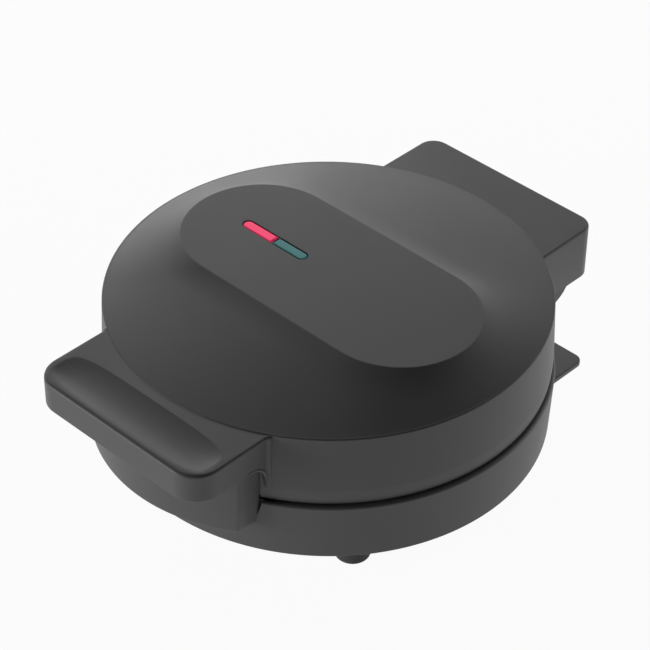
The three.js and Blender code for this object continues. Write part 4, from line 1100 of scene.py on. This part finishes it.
class BuildIndicator(bpy.types.Operator):
    """Build the two lenses of the indicator, which share one slot"""

    bl_idname = "donut_maker.indicator"
    bl_label = "Indicator lenses"

    def execute(self, context):
        lid, size = context.scene.donut_lid, context.scene.donut_indicator
        top = crown_top(lid) - size.recess
        middle = (size.start + size.end) / 2
        wide = size.half_width - size.gap
        parting, square, crest_round = 0.2 * MM, 0.25 * MM, 1.0 * MM
        for node, low, high, left, right, slot in (
            ("power_lens", size.start + size.gap, middle - parting, wide * FULL_ROUND, square,
             "red_lens"),
            ("ready_lens", middle + parting, size.end - size.gap, square, wide * FULL_ROUND,
             "green_lens"),
        ):
            bm = bmesh.new()
            chain(bm, [(low, -wide, top), (high, -wide, top), (high, wide, top), (low, wide, top)],
                  [(0, left, 10), (1, right, 10), (2, right, 10), (3, left, 10)], closed=True)
            bmesh.ops.remove_doubles(bm, verts=bm.verts, dist=FULL_ROUND_MERGE)
            fill(bm, bm.edges[:])
            bmesh.ops.dissolve_faces(bm, faces=bm.faces[:], use_verts=False)
            thickened(bm, (0, 0, -lid.wall))
            crest = [edge for edge in bm.edges
                     if all(abs(end.co.z - top) < SAME_LEVEL for end in edge.verts)]
            bmesh.ops.bevel(bm, geom=crest, affect="EDGES", offset=crest_round, segments=5,
                            profile=0.5, material=-1)
            finished(node + "_cap", bm, "lid", slot, [node], crease=60)
        return {"FINISHED"}


# ---------------------------------------------------------------------------------------------
# Base moulding
# ---------------------------------------------------------------------------------------------

# Rounds of the bowl: its top edge, the edge of its mouth and the corner of its floor.
BOWL_TOP_ROUND = 1.6 * MM
BOWL_MOUTH_ROUND = 0.4 * MM
BOWL_FLOOR_ROUND = 2 * MM


def base_bowl(base, mouth, steps):
    """The drum of the base, with a ledge that closes it under the plate's edge."""
    foot = base.top_radius - base.draft
    floor = base.bottom + base.wall
    ledge = base.top - base.wall
    bm = section(
        [(0, base.bottom), (foot, base.bottom), (base.top_radius, base.top),
         (mouth, base.top), (mouth, ledge), (base.top_radius - base.wall, ledge),
         (foot - base.wall, floor), (0, floor)],
        [(1, base.bottom_round, 8), (2, BOWL_TOP_ROUND, 5), (3, BOWL_MOUTH_ROUND, 2),
         (6, BOWL_FLOOR_ROUND, 3)],
    )
    return turned(bm, steps)


# Air between the front block and the roof of the handle's hollow.
BLOCK_HEADROOM = 3.8 * MM
# The block's walls run down this far inside the drum's outer face.
BLOCK_SINK = 3.2 * MM
BLOCK_CORNER = 1.6 * MM
# Where the block's underside starts to dip towards the drum, over what length and how far.
BLOCK_DIP_START = -106 * MM
BLOCK_DIP_LENGTH = 7.2 * MM
BLOCK_DIP = 0.97 * MM
BLOCK_DIP_LIMIT = 1.2
# The sides get this many cuts, so that they can follow the dip, and are the edges over this length.
BLOCK_SIDE_CUTS = 7
BLOCK_SHORTEST_SIDE = 6 * MM
# How near to a radius a point lies on it, how near to a side the rear's points move with it, and
# how near to it and how far behind the face's end the sides move straight out.
ON_RADIUS = 0.02 * MM
REAR_NEAR_SIDE = 1.2 * MM
FACE_NEAR_SIDE = 0.9 * MM
FACE_END = 1.5 * MM
# The step where the walls go inside the drum, and how the lower edge turns in from there.
BLOCK_STEP = 0.05 * MM
BLOCK_TURN_IN = 1.7 * MM
BLOCK_TURN_SHARE = 0.4
# Growth and rise of the rings that ease the block's lower edge.
BLOCK_EASE = ((0.0, 0.8 * MM), (-0.24 * MM, 0.24 * MM), (-0.56 * MM, 0.0))
# The sides of the block draw in by this share over this height.
BLOCK_DRAFT = 0.018
BLOCK_DRAFT_HEIGHT = 12 * MM


def front_block(base, lid, handle):
    """Bowed block that nests in the handle's skirt and is open below."""
    half, face, edge = base.block_half_width, base.block_face, lid.edge
    centre_y = -base.block_reach + face
    side_end = centre_y - math.sqrt(face ** 2 - half ** 2)
    top = handle_levels(lid, handle)[2] - BLOCK_HEADROOM
    clear = lid.rim_radius + lid.flare + base.block_gap
    in_wall = base.top_radius - BLOCK_SINK

    def under(co):
        """The underside dips where it runs into the drum."""
        near = max(0.0, co.y - BLOCK_DIP_START) / BLOCK_DIP_LENGTH
        return base.block_under - BLOCK_DIP * min(near, BLOCK_DIP_LIMIT) ** 2

    def outline(bm):
        """The bowed face, the two sides and the curve that clears the lid's wall."""
        width, bow = half - edge, face - edge
        spread = math.asin(width / bow)
        start = (-bow * math.sin(spread), centre_y - bow * math.cos(spread), top)
        first, last = arc(bm, start, (0, centre_y, top), 2 * spread, 40)
        rear = math.asin(width / clear)
        rear_start = (clear * math.sin(rear), -clear * math.cos(rear), top)
        rear_first, rear_last = arc(bm, rear_start, (0, 0, top), -2 * rear, 24)
        bm.edges.new((last, rear_first))
        bm.edges.new((rear_last, first))
        for corner in (first, last):
            rounded(bm, corner, BLOCK_CORNER - edge * 0.3, 5)
        sides = [side for side in bm.edges if side.calc_length() > BLOCK_SHORTEST_SIDE]
        bmesh.ops.subdivide_edges(bm, edges=sides, cuts=BLOCK_SIDE_CUTS)

    def ring(off, height, before=clear, after=clear):
        """A ring further out by off, whose rear moves from one radius to another."""
        def place(co):
            level = height(co) if callable(height) else height
            if abs(math.hypot(co.x, co.y) - before) < ON_RADIUS:
                x = co.x
                if abs(abs(x) - (half - edge)) < REAR_NEAR_SIDE and off:
                    x = math.copysign(abs(x) + off, x)
                return Vector((x, -math.sqrt(after ** 2 - x ** 2), level))
            away = Vector((co.x, co.y - centre_y, 0)).normalized()
            if abs(co.x) > half - edge - FACE_NEAR_SIDE and co.y > side_end + FACE_END:
                away = Vector((math.copysign(1, co.x), 0, 0))
            return Vector((co.x + away.x * off, co.y + away.y * off, level))
        return place

    bm = bmesh.new()
    outline(bm)
    start_loop = bm.edges[:]
    loop = bm.edges[:]
    for step, drop in edge_round(edge, 3):
        loop = ring_on(bm, loop, ring(step, top - drop))
    loop = ring_on(bm, loop, ring(0.0, base.top))
    loop = ring_on(bm, loop, ring(0.0, base.top - BLOCK_STEP, clear, in_wall))
    for grow, rise in BLOCK_EASE:
        loop = ring_on(bm, loop, ring(grow, lambda co: under(co) + rise, in_wall, in_wall))
    inner = in_wall + base.wall * BLOCK_TURN_SHARE
    behind = clear + base.wall
    loop = ring_on(bm, loop, ring(-BLOCK_TURN_IN, under, in_wall, inner))
    loop = ring_on(bm, loop, ring(0.0, base.top, inner, behind))
    loop = ring_on(bm, loop, ring(0.0, top - base.wall, behind, behind))
    fill(bm, loop, (0, 0, -1))
    fill(bm, start_loop)
    for point in bm.verts:
        below = max(0.0, base.top - point.co.z)
        point.co.x *= 1 - BLOCK_DRAFT * below / BLOCK_DRAFT_HEIGHT
    return bm


def notch_tools(base):
    """Slim wedges, one for the wall's notch at each side of the front block."""
    near, far, foot, head = 50.0 * MM, 52.8 * MM, 29.5 * MM, base.top + 1 * MM
    start_y, depth = -95.4 * MM, 18 * MM
    tools = []
    for side in (-1, 1):
        wedge = bmesh.new()
        chain(wedge, [(near, 0, foot), (far, 0, head), (near, 0, head)], closed=True)
        fill(wedge, wedge.edges[:], (0, 1, 0))
        thickened(wedge, (0, -depth, 0))
        shifted(wedge, (0, start_y, 0))
        bmesh.ops.scale(wedge, verts=wedge.verts, vec=(side, 1, 1))
        tools.append(wedge)
    return tools


# The bracket's back slopes straight from its foot to its knee and curves from there: both its
# height and its reach are then quadratics in one share, with these rates in millimetres.
BRACKET_FOOT = (28 * MM, 97 * MM)
BRACKET_KNEE = (34.5 * MM, 113.5 * MM)
BRACKET_RISE, BRACKET_RISE_GAIN, BRACKET_SPAN = 8, 2, 8.8
# Heights of the bracket's rings beside the lid, then height and front radius inside the drum.
BRACKET_UPPER = (42.5 * MM, 40.5 * MM, BASE_TOP)
BRACKET_LOWER = ((BASE_TOP - 0.1 * MM, 108 * MM), (36.5 * MM, 108 * MM), (34.5 * MM, 108 * MM),
                 (32.5 * MM, 104.5 * MM), (28.5 * MM, 92 * MM))
# The tray's top below the hinge, its outer corners, and the heights of its inside.
TRAY_BELOW_HINGE = 9.5 * MM
TRAY_OUTER_CORNER = 1.5 * MM
TRAY_CORNER = 42 * MM
TRAY_FLOOR = 40 * MM
BRACKET_ON_RADIUS = 0.03 * MM


def bracket_back(height):
    """How far back the hinge bracket reaches at a height."""
    foot, foot_reach = BRACKET_FOOT
    knee, knee_reach = BRACKET_KNEE
    if height < knee:
        return foot_reach + (height - foot) * (knee_reach - foot_reach) / (knee - foot)
    climb = (height - knee) / MM
    root = math.sqrt(BRACKET_RISE ** 2 + 4 * BRACKET_RISE_GAIN * climb)
    share = (root - BRACKET_RISE) / (2 * BRACKET_RISE_GAIN)
    return knee_reach + BRACKET_SPAN * (2 * share - share ** 2) * MM


def hinge_bracket(base):
    """Open tray behind the drum, which carries the two ears."""
    half, clear, wall = base.bracket_half_width, base.clear_radius, base.wall
    top = HINGE_Z - TRAY_BELOW_HINGE
    bm = bmesh.new()
    angle = math.asin(half / clear)
    first, last = arc(bm, (half, clear * math.cos(angle), top), (0, 0, top), 2 * angle, 24)
    back_right = bm.verts.new((half, bracket_back(top), top))
    back_left = bm.verts.new((-half, bracket_back(top), top))
    for ends in ((first, back_right), (back_right, back_left), (back_left, last)):
        bm.edges.new(ends)
    for corner in (back_right, back_left):
        rounded(bm, corner, TRAY_OUTER_CORNER, 4)
    start_loop = bm.edges[:]

    def level(height_before, height, radius_before, radius, inset_before=0.0, inset=0.0):
        """A ring at a new height, front radius and inset from the outer face."""
        back_before = bracket_back(height_before) - inset_before

        def place(co):
            x = co.x * ((half - inset) / (half - inset_before))
            if abs(math.hypot(co.x, co.y) - radius_before) < BRACKET_ON_RADIUS:
                return Vector((x, math.sqrt(radius ** 2 - x ** 2), height))
            return Vector((x, co.y - back_before + bracket_back(height) - inset, height))
        return place

    loop = start_loop
    levels = [(top, clear)] + [(height, clear) for height in BRACKET_UPPER] + list(BRACKET_LOWER)
    for (before, radius_before), (height, radius) in zip(levels, levels[1:]):
        loop = ring_on(bm, loop, level(before, height, radius_before, radius))
    fill(bm, loop, (0, 0, -1))
    # The tray's inside, from its top edge down to its floor.
    inner = clear + wall
    loop = ring_on(bm, start_loop, level(top, top, clear, inner, 0.0, wall))
    loop = ring_on(bm, loop, level(top, TRAY_CORNER, inner, inner, wall, wall))
    loop = ring_on(bm, loop, level(TRAY_CORNER, TRAY_FLOOR, inner, inner, wall, wall))
    fill(bm, loop)
    return bm


def ears(hinge):
    """The two ears that hold the hinge pins."""
    start_angle, swing = math.radians(-50), math.radians(230)
    depth, foot_behind, play = 12 * MM, 0.8 * MM, 0.05 * MM
    low = HINGE_Z - depth
    foot_near, foot_far = (0, HINGE_Y - hinge.ear, low), (0, HINGE_Y + foot_behind, low)
    start = (0, HINGE_Y + hinge.ear * math.cos(start_angle),
             HINGE_Z + hinge.ear * math.sin(start_angle))
    made = []
    for side in (-1, 1):
        outline = bmesh.new()
        first, last = arc(outline, start, (0, HINGE_Y, HINGE_Z), swing, 28, (1, 0, 0))
        near = outline.verts.new(foot_near)
        far = outline.verts.new(foot_far)
        for ends in ((last, near), (near, far), (far, first)):
            outline.edges.new(ends)
        left, right = sorted((side * hinge.ear_inside, side * (hinge.ear_inside + hinge.ear_width)))
        made.append(slab(outline, left, right, [(HINGE_Y, HINGE_Z, hinge.pin + play)]))
    return made


def heel_plate(base):
    """Flat plate that reaches out behind the drum."""
    front, corner, edge, thickness, rise = 74 * MM, 5 * MM, 0.6 * MM, 3 * MM, 2.2 * MM
    top = base.bottom + rise
    width, reach = base.heel_half_width - edge, base.heel_reach - edge
    bm = bmesh.new()
    chain(bm, [(width, front, top), (width, reach, top),
               (-width, reach, top), (-width, front, top)],
          [(1, corner - edge, 10), (2, corner - edge, 10)], closed=True)
    start_loop = bm.edges[:]
    loop = bm.edges[:]
    outwards = tongue_steps(width, reach, corner - edge, 1)
    for step, drop in edge_round(edge, 3):
        loop = ring_on(bm, loop, outwards(step, top - drop))
    loop = ring_on(bm, loop, outwards(0.0, top - thickness + edge))
    loop = ring_on(bm, loop, outwards(-edge, top - thickness))
    fill(bm, loop, (0, 0, -1))
    fill(bm, start_loop)
    return bm


class BuildBaseMoulding(bpy.types.Operator):
    """Build the base: bowl, front block, hinge bracket with its ears, and heel plate"""

    bl_idname = "donut_maker.base_moulding"
    bl_label = "Base moulding"

    def execute(self, context):
        sizes = context.scene
        base, lid = sizes.donut_base, sizes.donut_lid
        bowl = cut(base_bowl(base, lid.rim_radius - MOUTH_INSET, lid.steps), notch_tools(base))
        forms = [bowl, front_block(base, lid, sizes.donut_handle), hinge_bracket(base),
                 heel_plate(base)]
        forms += ears(sizes.donut_hinge)
        finished("base_moulding", joined(forms), "base", "housing", ["base_housing"])
        return {"FINISHED"}


class BuildFeet(bpy.types.Operator):
    """Build the four domed rubber feet"""

    bl_idname = "donut_maker.feet"
    bl_label = "Feet"

    def execute(self, context):
        base = context.scene.donut_base
        radius = base.foot_radius
        sunk, sole_round, top_round = 0.3 * MM, 2 * MM, 0.4 * MM
        top = base.bottom - sunk
        for node in ("foot_front_right", "foot_front_left", "foot_rear_right", "foot_rear_left"):
            low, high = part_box(node)
            bm = section([(0, 0), (radius, 0), (radius, top), (0, top)],
                         [(1, sole_round, 8), (2, top_round, 3)])
            shifted(turned(bm, 64), ((low.x + high.x) / 2, (low.y + high.y) / 2, 0))
            finished(node + "_pad", bm, "base", "rubber", [node], shift=False)
        return {"FINISHED"}


# ---------------------------------------------------------------------------------------------
# Cooking plates and hinge pins
# ---------------------------------------------------------------------------------------------

# A plate's edge: its flat land, the wall of its skirt and its rounds.
PLATE_LAND = 1.2 * MM
PLATE_WALL = 2.5 * MM
PLATE_TOP_ROUND = 0.8 * MM
PLATE_FOOT_ROUND = 0.5 * MM
# A cup's rounds where it meets the deck, outside and round its middle, and its land.
CUP_LAND = 1.3 * MM
CUP_OUTER_ROUND = 0.9 * MM
CUP_INNER_ROUND = 1.0 * MM
# Thickness of the casting round a cup, and the share of its radius that is rounded behind.
CUP_WALL = 1.9 * MM
CUP_BACK_ROUND = 0.72
# A screw's well: the gap round the head, the flare at its mouth and its depth.
WELL_GAP = 0.4 * MM
WELL_FLARE = 0.5 * MM
WELL_DEPTH = 2.3 * MM
HEAD_HEIGHT = 1.7 * MM
HEAD_ROUND = 1.1 * MM
HEAD_SUNK = 0.35 * MM
FIRST_SCREW_TURN = 0.4
# The arms of the cross recess: their length as a share of the head's radius, their width, depth
# and how far they stand out of the head, and how much shorter and slimmer they are at their foot.
ARM_LENGTH = 1.15
ARM_FOOT_LENGTH = 0.35
ARM_FOOT_WIDTH = 0.6
ARM_WIDTH = 0.75 * MM
ARM_HEIGHT = 1.4 * MM
ARM_LIFT = 0.1 * MM


def ring_places(plate):
    """The middle ring and the six round it."""
    yield (0.0, 0.0)
    for k in range(6):
        angle = math.radians(60 * k)
        yield (plate.pitch * math.cos(angle), plate.pitch * math.sin(angle))


def screw_places(plate):
    """The three plate screws, each between two outer rings."""
    for degrees in (30, 150, 270):
        angle = math.radians(degrees)
        yield (plate.screw_circle * math.cos(angle), plate.screw_circle * math.sin(angle))


def ring_cup(plate):
    """Half a ring sunk in the deck, with the flat disc in its middle."""
    outer, inner = plate.ring + plate.tube, plate.ring - plate.tube
    bm = bmesh.new()
    corners = chain(bm, [(outer + CUP_LAND, 0, 0), (outer, 0, 0), (outer, 0, -plate.tube),
                         (inner, 0, -plate.tube), (inner, 0, 0), (0, 0, 0)],
                    [(2, plate.tube * FULL_ROUND, 14), (3, plate.tube * FULL_ROUND, 14)])
    rounded(bm, corners[1], CUP_OUTER_ROUND, 3)
    rounded(bm, corners[4], CUP_INNER_ROUND, 3)
    return turned(bm, 72)


def cup_back(plate):
    """The bulge of a ring under the deck."""
    shell = plate.tube + CUP_WALL
    outer, inner = plate.ring + shell, plate.ring - shell
    bm = section([(outer, -plate.deck), (outer, -shell), (inner, -shell), (inner, -plate.deck)],
                 [(1, shell * CUP_BACK_ROUND, 8), (2, shell * CUP_BACK_ROUND, 8)])
    return turned(bm, 48)


def screw_well(plate):
    """The well that a screw's head sits in."""
    radius = plate.screw_head + WELL_GAP
    return turned(section([(radius + WELL_FLARE, 0), (radius, -WELL_FLARE),
                           (radius, -WELL_DEPTH), (0, -WELL_DEPTH)]), 32)


def cooking_plate(plate):
    """A cast plate facing up at zero height, with seven half rings sunk in it."""
    radius, skirt, deck = plate.radius, plate.skirt, plate.deck
    inside = radius - PLATE_WALL
    rim = section([(radius - PLATE_LAND, 0), (radius, 0), (radius, -skirt), (inside, -skirt),
                   (inside, -deck)],
                  [(1, PLATE_TOP_ROUND, 4), (2, PLATE_FOOT_ROUND, 2), (3, PLATE_FOOT_ROUND, 2)])
    parts = [turned(rim, 192)]
    for x, y in ring_places(plate):
        parts += [shifted(ring_cup(plate), (x, y, 0)), shifted(cup_back(plate), (x, y, 0))]
    parts += [shifted(screw_well(plate), (x, y, 0)) for x, y in screw_places(plate)]
    whole = joined(parts, closed=False)
    fill(whole, edges_at(whole, 0))
    fill(whole, edges_at(whole, -deck), (0, 0, -1))
    bmesh.ops.remove_doubles(whole, verts=whole.verts, dist=MERGE)
    return whole


def screw_form(plate):
    """A low round head with a cross recess, sitting in its well."""
    radius = plate.screw_head
    head = section([(0, 0), (radius, 0), (radius, -HEAD_HEIGHT), (0, -HEAD_HEIGHT)],
                   [(1, HEAD_ROUND, 6)])
    arms = []
    for turn in (0, QUARTER):
        arm = block((radius * ARM_LENGTH, ARM_WIDTH, ARM_HEIGHT), (0, 0, 0))
        for point in arm.verts:
            if point.co.z < 0:
                point.co.x *= ARM_FOOT_LENGTH
                point.co.y *= ARM_FOOT_WIDTH
        moved(arm, Matrix.Translation((0, 0, ARM_LIFT)) @ Matrix.Rotation(turn, 4, "Z"))
        arms.append(arm)
    return cut(turned(head, 48), arms)


def cut(form, tools):
    """Cut some closed forms out of another."""
    made = []
    for bm in [form] + tools:
        bmesh.ops.recalc_face_normals(bm, faces=bm.faces)
        mesh = bpy.data.meshes.new("cut")
        bm.to_mesh(mesh)
        bm.free()
        item = bpy.data.objects.new("cut", mesh)
        bpy.context.scene.collection.objects.link(item)
        made.append(item)
    for tool in made[1:]:
        boolean = made[0].modifiers.new("Cut", "BOOLEAN")
        boolean.operation = "DIFFERENCE"
        boolean.solver = "EXACT"
        boolean.object = tool
    bpy.context.view_layer.update()
    result = bpy.data.meshes.new_from_object(
        made[0].evaluated_get(bpy.context.evaluated_depsgraph_get()))
    bm = bmesh.new()
    bm.from_mesh(result)
    bpy.data.meshes.remove(result)
    for item in made:
        mesh = item.data
        bpy.data.objects.remove(item)
        bpy.data.meshes.remove(mesh)
    return bm


class BuildPlates(bpy.types.Operator):
    """Build the two cooking plates and their screws"""

    bl_idname = "donut_maker.plates"
    bl_label = "Cooking plates"

    def execute(self, context):
        plate = context.scene.donut_plate
        flipped = Matrix.Rotation(math.pi, 4, "Y")
        faces = (
            ("lower", "base", Matrix.Translation((0, 0, PLATE_HIGH.z))),
            ("upper", "lid", Matrix.Translation((0, 0, UPPER_PLATE_LOW.z)) @ flipped),
        )
        for side, body, face in faces:
            finished(side + "_cooking_plate", moved(cooking_plate(plate), face), body,
                     "plate_coating", [side + "_plate"], crease=50)
            for k, (x, y) in enumerate(screw_places(plate)):
                # Each screw stops at another turn, as tightened by hand.
                turn = Matrix.Rotation(FIRST_SCREW_TURN + k, 4, "Z")
                seat = Matrix.Translation((x, y, -HEAD_SUNK))
                node = f"{side}_plate_screw_{k + 1}"
                finished(node + "_head", moved(screw_form(plate), face @ seat @ turn), body,
                         "zinc_steel", [node])
        return {"FINISHED"}


class BuildHingePins(bpy.types.Operator):
    """Build the two hinge pins"""

    bl_idname = "donut_maker.hinge_pins"
    bl_label = "Hinge pins"

    def execute(self, context):
        radius = context.scene.donut_hinge.pin
        end_round = 0.45 * MM
        for node in ("hinge_pin_right", "hinge_pin_left"):
            low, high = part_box(node)
            span = high.x - low.x
            bm = turned(section([(0, 0), (radius, 0), (radius, span), (0, span)],
                                [(1, end_round, 3), (2, end_round, 3)]), 40)
            end = Matrix.Translation((low.x, (low.y + high.y) / 2, (low.z + high.z) / 2))
            moved(bm, end @ Matrix.Rotation(QUARTER, 4, "Y"))
            finished(node + "_rod", bm, "base", "zinc_steel", [node], shift=False)
        return {"FINISHED"}


class DressSolids(bpy.types.Operator):
    """Give every solid that stays in view the finish of its slot"""

    bl_idname = "donut_maker.dress_solids"
    bl_label = "Finishes on the solids"

    def execute(self, context):
        slots = {entry["node"]: entry["material_slot"] for entry in frame["record"]["subparts"]}
        for name, node in frame["nodes"].items():
            if node.hide_render:
                continue
            node.data.materials.clear()
            node.data.materials.append(FINISHES[slots[name]])
        return {"FINISHED"}


# ---------------------------------------------------------------------------------------------
# Stage
# ---------------------------------------------------------------------------------------------

CAMERA_PLACE = Vector((623.8, -653.0, 779.1)) * MM
CAMERA_TARGET = Vector((-6.53, 6.89, 49.76)) * MM
CAMERA_ROLL = math.radians(0.640)
SENSOR = 36.0
NEAR_CLIP = 0.05
FAR_CLIP = 50.0
# The lamps face the middle of the object.
LAMP_TARGET = Vector((0, 0, 40 * MM))
FLOOR_HALF = 6.0
FLOOR_DROP = 0.05 * MM

# Name, bearing and height of each soft box in degrees, and its strength in watts.
LAMPS = (
    ("Back right, low", 60, 8, 5.3),
    ("Back, low", 120, 8, 2.2),
    ("Back left, low", 150, 8, 4.7),
    ("Front left, low", 240, 8, 12.4),
    ("Back right, middle", 90, 30, 1.8),
    ("Back, middle", 120, 30, 1.7),
    ("Back left, middle", 150, 30, 3.4),
    ("Left, middle", 180, 30, 2.3),
    ("Back right, high", 60, 55, 0.9),
)


class BuildStage(bpy.types.Operator):
    """Set up the floor, the lamps, the world and the camera"""

    bl_idname = "donut_maker.stage"
    bl_label = "Stage"

    def execute(self, context):
        scene = context.scene
        studio = scene.donut_studio
        scene.view_settings.view_transform = "Standard"
        self.floor(scene, studio)
        for lamp in LAMPS:
            self.lamp(scene, studio, *lamp)
        self.world(scene, studio)
        self.camera(scene, studio)
        return {"FINISHED"}

    def lamp(self, scene, studio, name, bearing, height, strength):
        data = bpy.data.lights.new(name, "AREA")
        data.shape = "RECTANGLE"
        data.size = studio.box_width
        data.size_y = studio.box_height
        data.energy = strength
        lamp = bpy.data.objects.new(name, data)
        lamp.visible_camera = False
        turn = (Matrix.Rotation(math.radians(bearing), 4, "Z")
                @ Matrix.Rotation(-math.radians(height), 4, "Y"))
        spot = LAMP_TARGET + turn @ Vector((studio.box_distance, 0, 0))
        aim = (LAMP_TARGET - spot).to_track_quat("-Z", "Y").to_matrix().to_4x4()
        lamp.matrix_world = Matrix.Translation(spot) @ aim
        scene.collection.objects.link(lamp)

    def floor(self, scene, studio):
        bm = bmesh.new()
        bmesh.ops.create_grid(bm, x_segments=1, y_segments=1, size=FLOOR_HALF)
        shifted(bm, (0, 0, -FLOOR_DROP))
        mesh = bpy.data.meshes.new("Floor")
        bm.to_mesh(mesh)
        bm.free()
        floor = bpy.data.objects.new("Floor", mesh)
        scene.collection.objects.link(floor)
        paper = Finish("White paper")
        fibre = paper.noise(2 * MM, 3.0, 0.6)
        plain = (studio.floor, studio.floor, studio.floor, 1)
        paper.set(Base_Color=paper.mix(fibre, shade(plain, 0.99), plain), Roughness=0.9)
        # The paper looks white to the camera and in gloss, throws light up and keeps a shadow.
        seen = paper.background_rays("Is Glossy Ray")
        share = studio.bounce + (studio.white - studio.bounce) * seen
        white = paper.node("ShaderNodeEmission", {}, {"Strength": 1.0})
        lit = Value(paper, paper.shader.outputs[0])
        shown = paper.node("ShaderNodeMixShader", {}, (share, lit, white))
        paper.feed(paper.tree.nodes["Material Output"].inputs["Surface"], shown)
        mesh.materials.append(paper.material)

    def world(self, scene, studio):
        world = bpy.data.worlds.new("Studio")
        world.use_nodes = True
        scene.world = world
        sky = Nodes(world.node_tree)
        # The sky is white where it is seen, straight or through a lens, and dim as a light.
        level = sky.node("ShaderNodeMapRange", {}, {
            "Value": sky.background_rays("Is Transmission Ray"),
            "To Min": studio.world, "To Max": 1.0,
        })
        background = sky.tree.nodes["Background"]
        sky.feed(background.inputs["Strength"], level)
        sky.feed(background.inputs["Color"], (1, 1, 1, 1))

    def camera(self, scene, studio):
        data = bpy.data.cameras.new("Camera")
        data.lens = studio.lens
        data.sensor_width = SENSOR
        data.clip_start = NEAR_CLIP
        data.clip_end = FAR_CLIP
        camera = bpy.data.objects.new("Camera", data)
        forward = (CAMERA_TARGET - CAMERA_PLACE).normalized()
        right = forward.cross(Vector((0, 0, 1))).normalized()
        up = right.cross(forward)
        rolled_right = right * math.cos(CAMERA_ROLL) + up * math.sin(CAMERA_ROLL)
        rolled_up = up * math.cos(CAMERA_ROLL) - right * math.sin(CAMERA_ROLL)
        turn = Matrix((rolled_right, rolled_up, -forward)).transposed().to_4x4()
        camera.matrix_world = Matrix.Translation(CAMERA_PLACE) @ turn
        scene.collection.objects.link(camera)
        scene.camera = camera


# ---------------------------------------------------------------------------------------------
# Add-on
# ---------------------------------------------------------------------------------------------

GROUPS = {
    "donut_lid": LidSizes,
    "donut_indicator": IndicatorSizes,
    "donut_handle": HandleSizes,
    "donut_hinge": HingeSizes,
    "donut_base": BaseSizes,
    "donut_plate": PlateSizes,
    "donut_colours": FinishColours,
    "donut_studio": StudioSettings,
}


class MixFinishes(bpy.types.Operator):
    """Make the finishes that the pieces wear"""

    bl_idname = "donut_maker.finishes"
    bl_label = "Finishes"

    def execute(self, context):
        make_finishes(context.scene.donut_colours)
        return {"FINISHED"}


STEPS = (MixFinishes, BuildLidMoulding, BuildIndicator, BuildBaseMoulding, BuildFeet, BuildPlates,
         BuildHingePins, DressSolids, BuildStage)


class DonutMakerPanel(bpy.types.Panel):
    """Sizes and steps of the donut maker"""

    bl_idname = "DONUT_MAKER_PT_panel"
    bl_label = "Donut maker"
    bl_space_type = "VIEW_3D"
    bl_region_type = "UI"
    bl_category = "Donut maker"

    def draw(self, context):
        for step in STEPS:
            self.layout.operator(step.bl_idname)
        for name, group in GROUPS.items():
            box = self.layout.box()
            box.label(text=group.__doc__)
            for key in group.__annotations__:
                box.prop(getattr(context.scene, name), key)


def register():
    for group in GROUPS.values():
        bpy.utils.register_class(group)
    for name, group in GROUPS.items():
        setattr(bpy.types.Scene, name, PointerProperty(type=group))
    for step in STEPS:
        bpy.utils.register_class(step)
    bpy.utils.register_class(DonutMakerPanel)


def unregister():
    bpy.utils.unregister_class(DonutMakerPanel)
    for step in reversed(STEPS):
        bpy.utils.unregister_class(step)
    for name in GROUPS:
        delattr(bpy.types.Scene, name)
    for group in reversed(list(GROUPS.values())):
        bpy.utils.unregister_class(group)


def main():
    register()
    bpy.ops.donut_maker.finishes()
    bpy.ops.donut_maker.lid_moulding()
    bpy.ops.donut_maker.indicator()
    bpy.ops.donut_maker.base_moulding()
    bpy.ops.donut_maker.feet()
    bpy.ops.donut_maker.plates()
    bpy.ops.donut_maker.hinge_pins()
    bpy.ops.donut_maker.dress_solids()
    bpy.ops.donut_maker.stage()


if __name__ == "__main__":
    main()
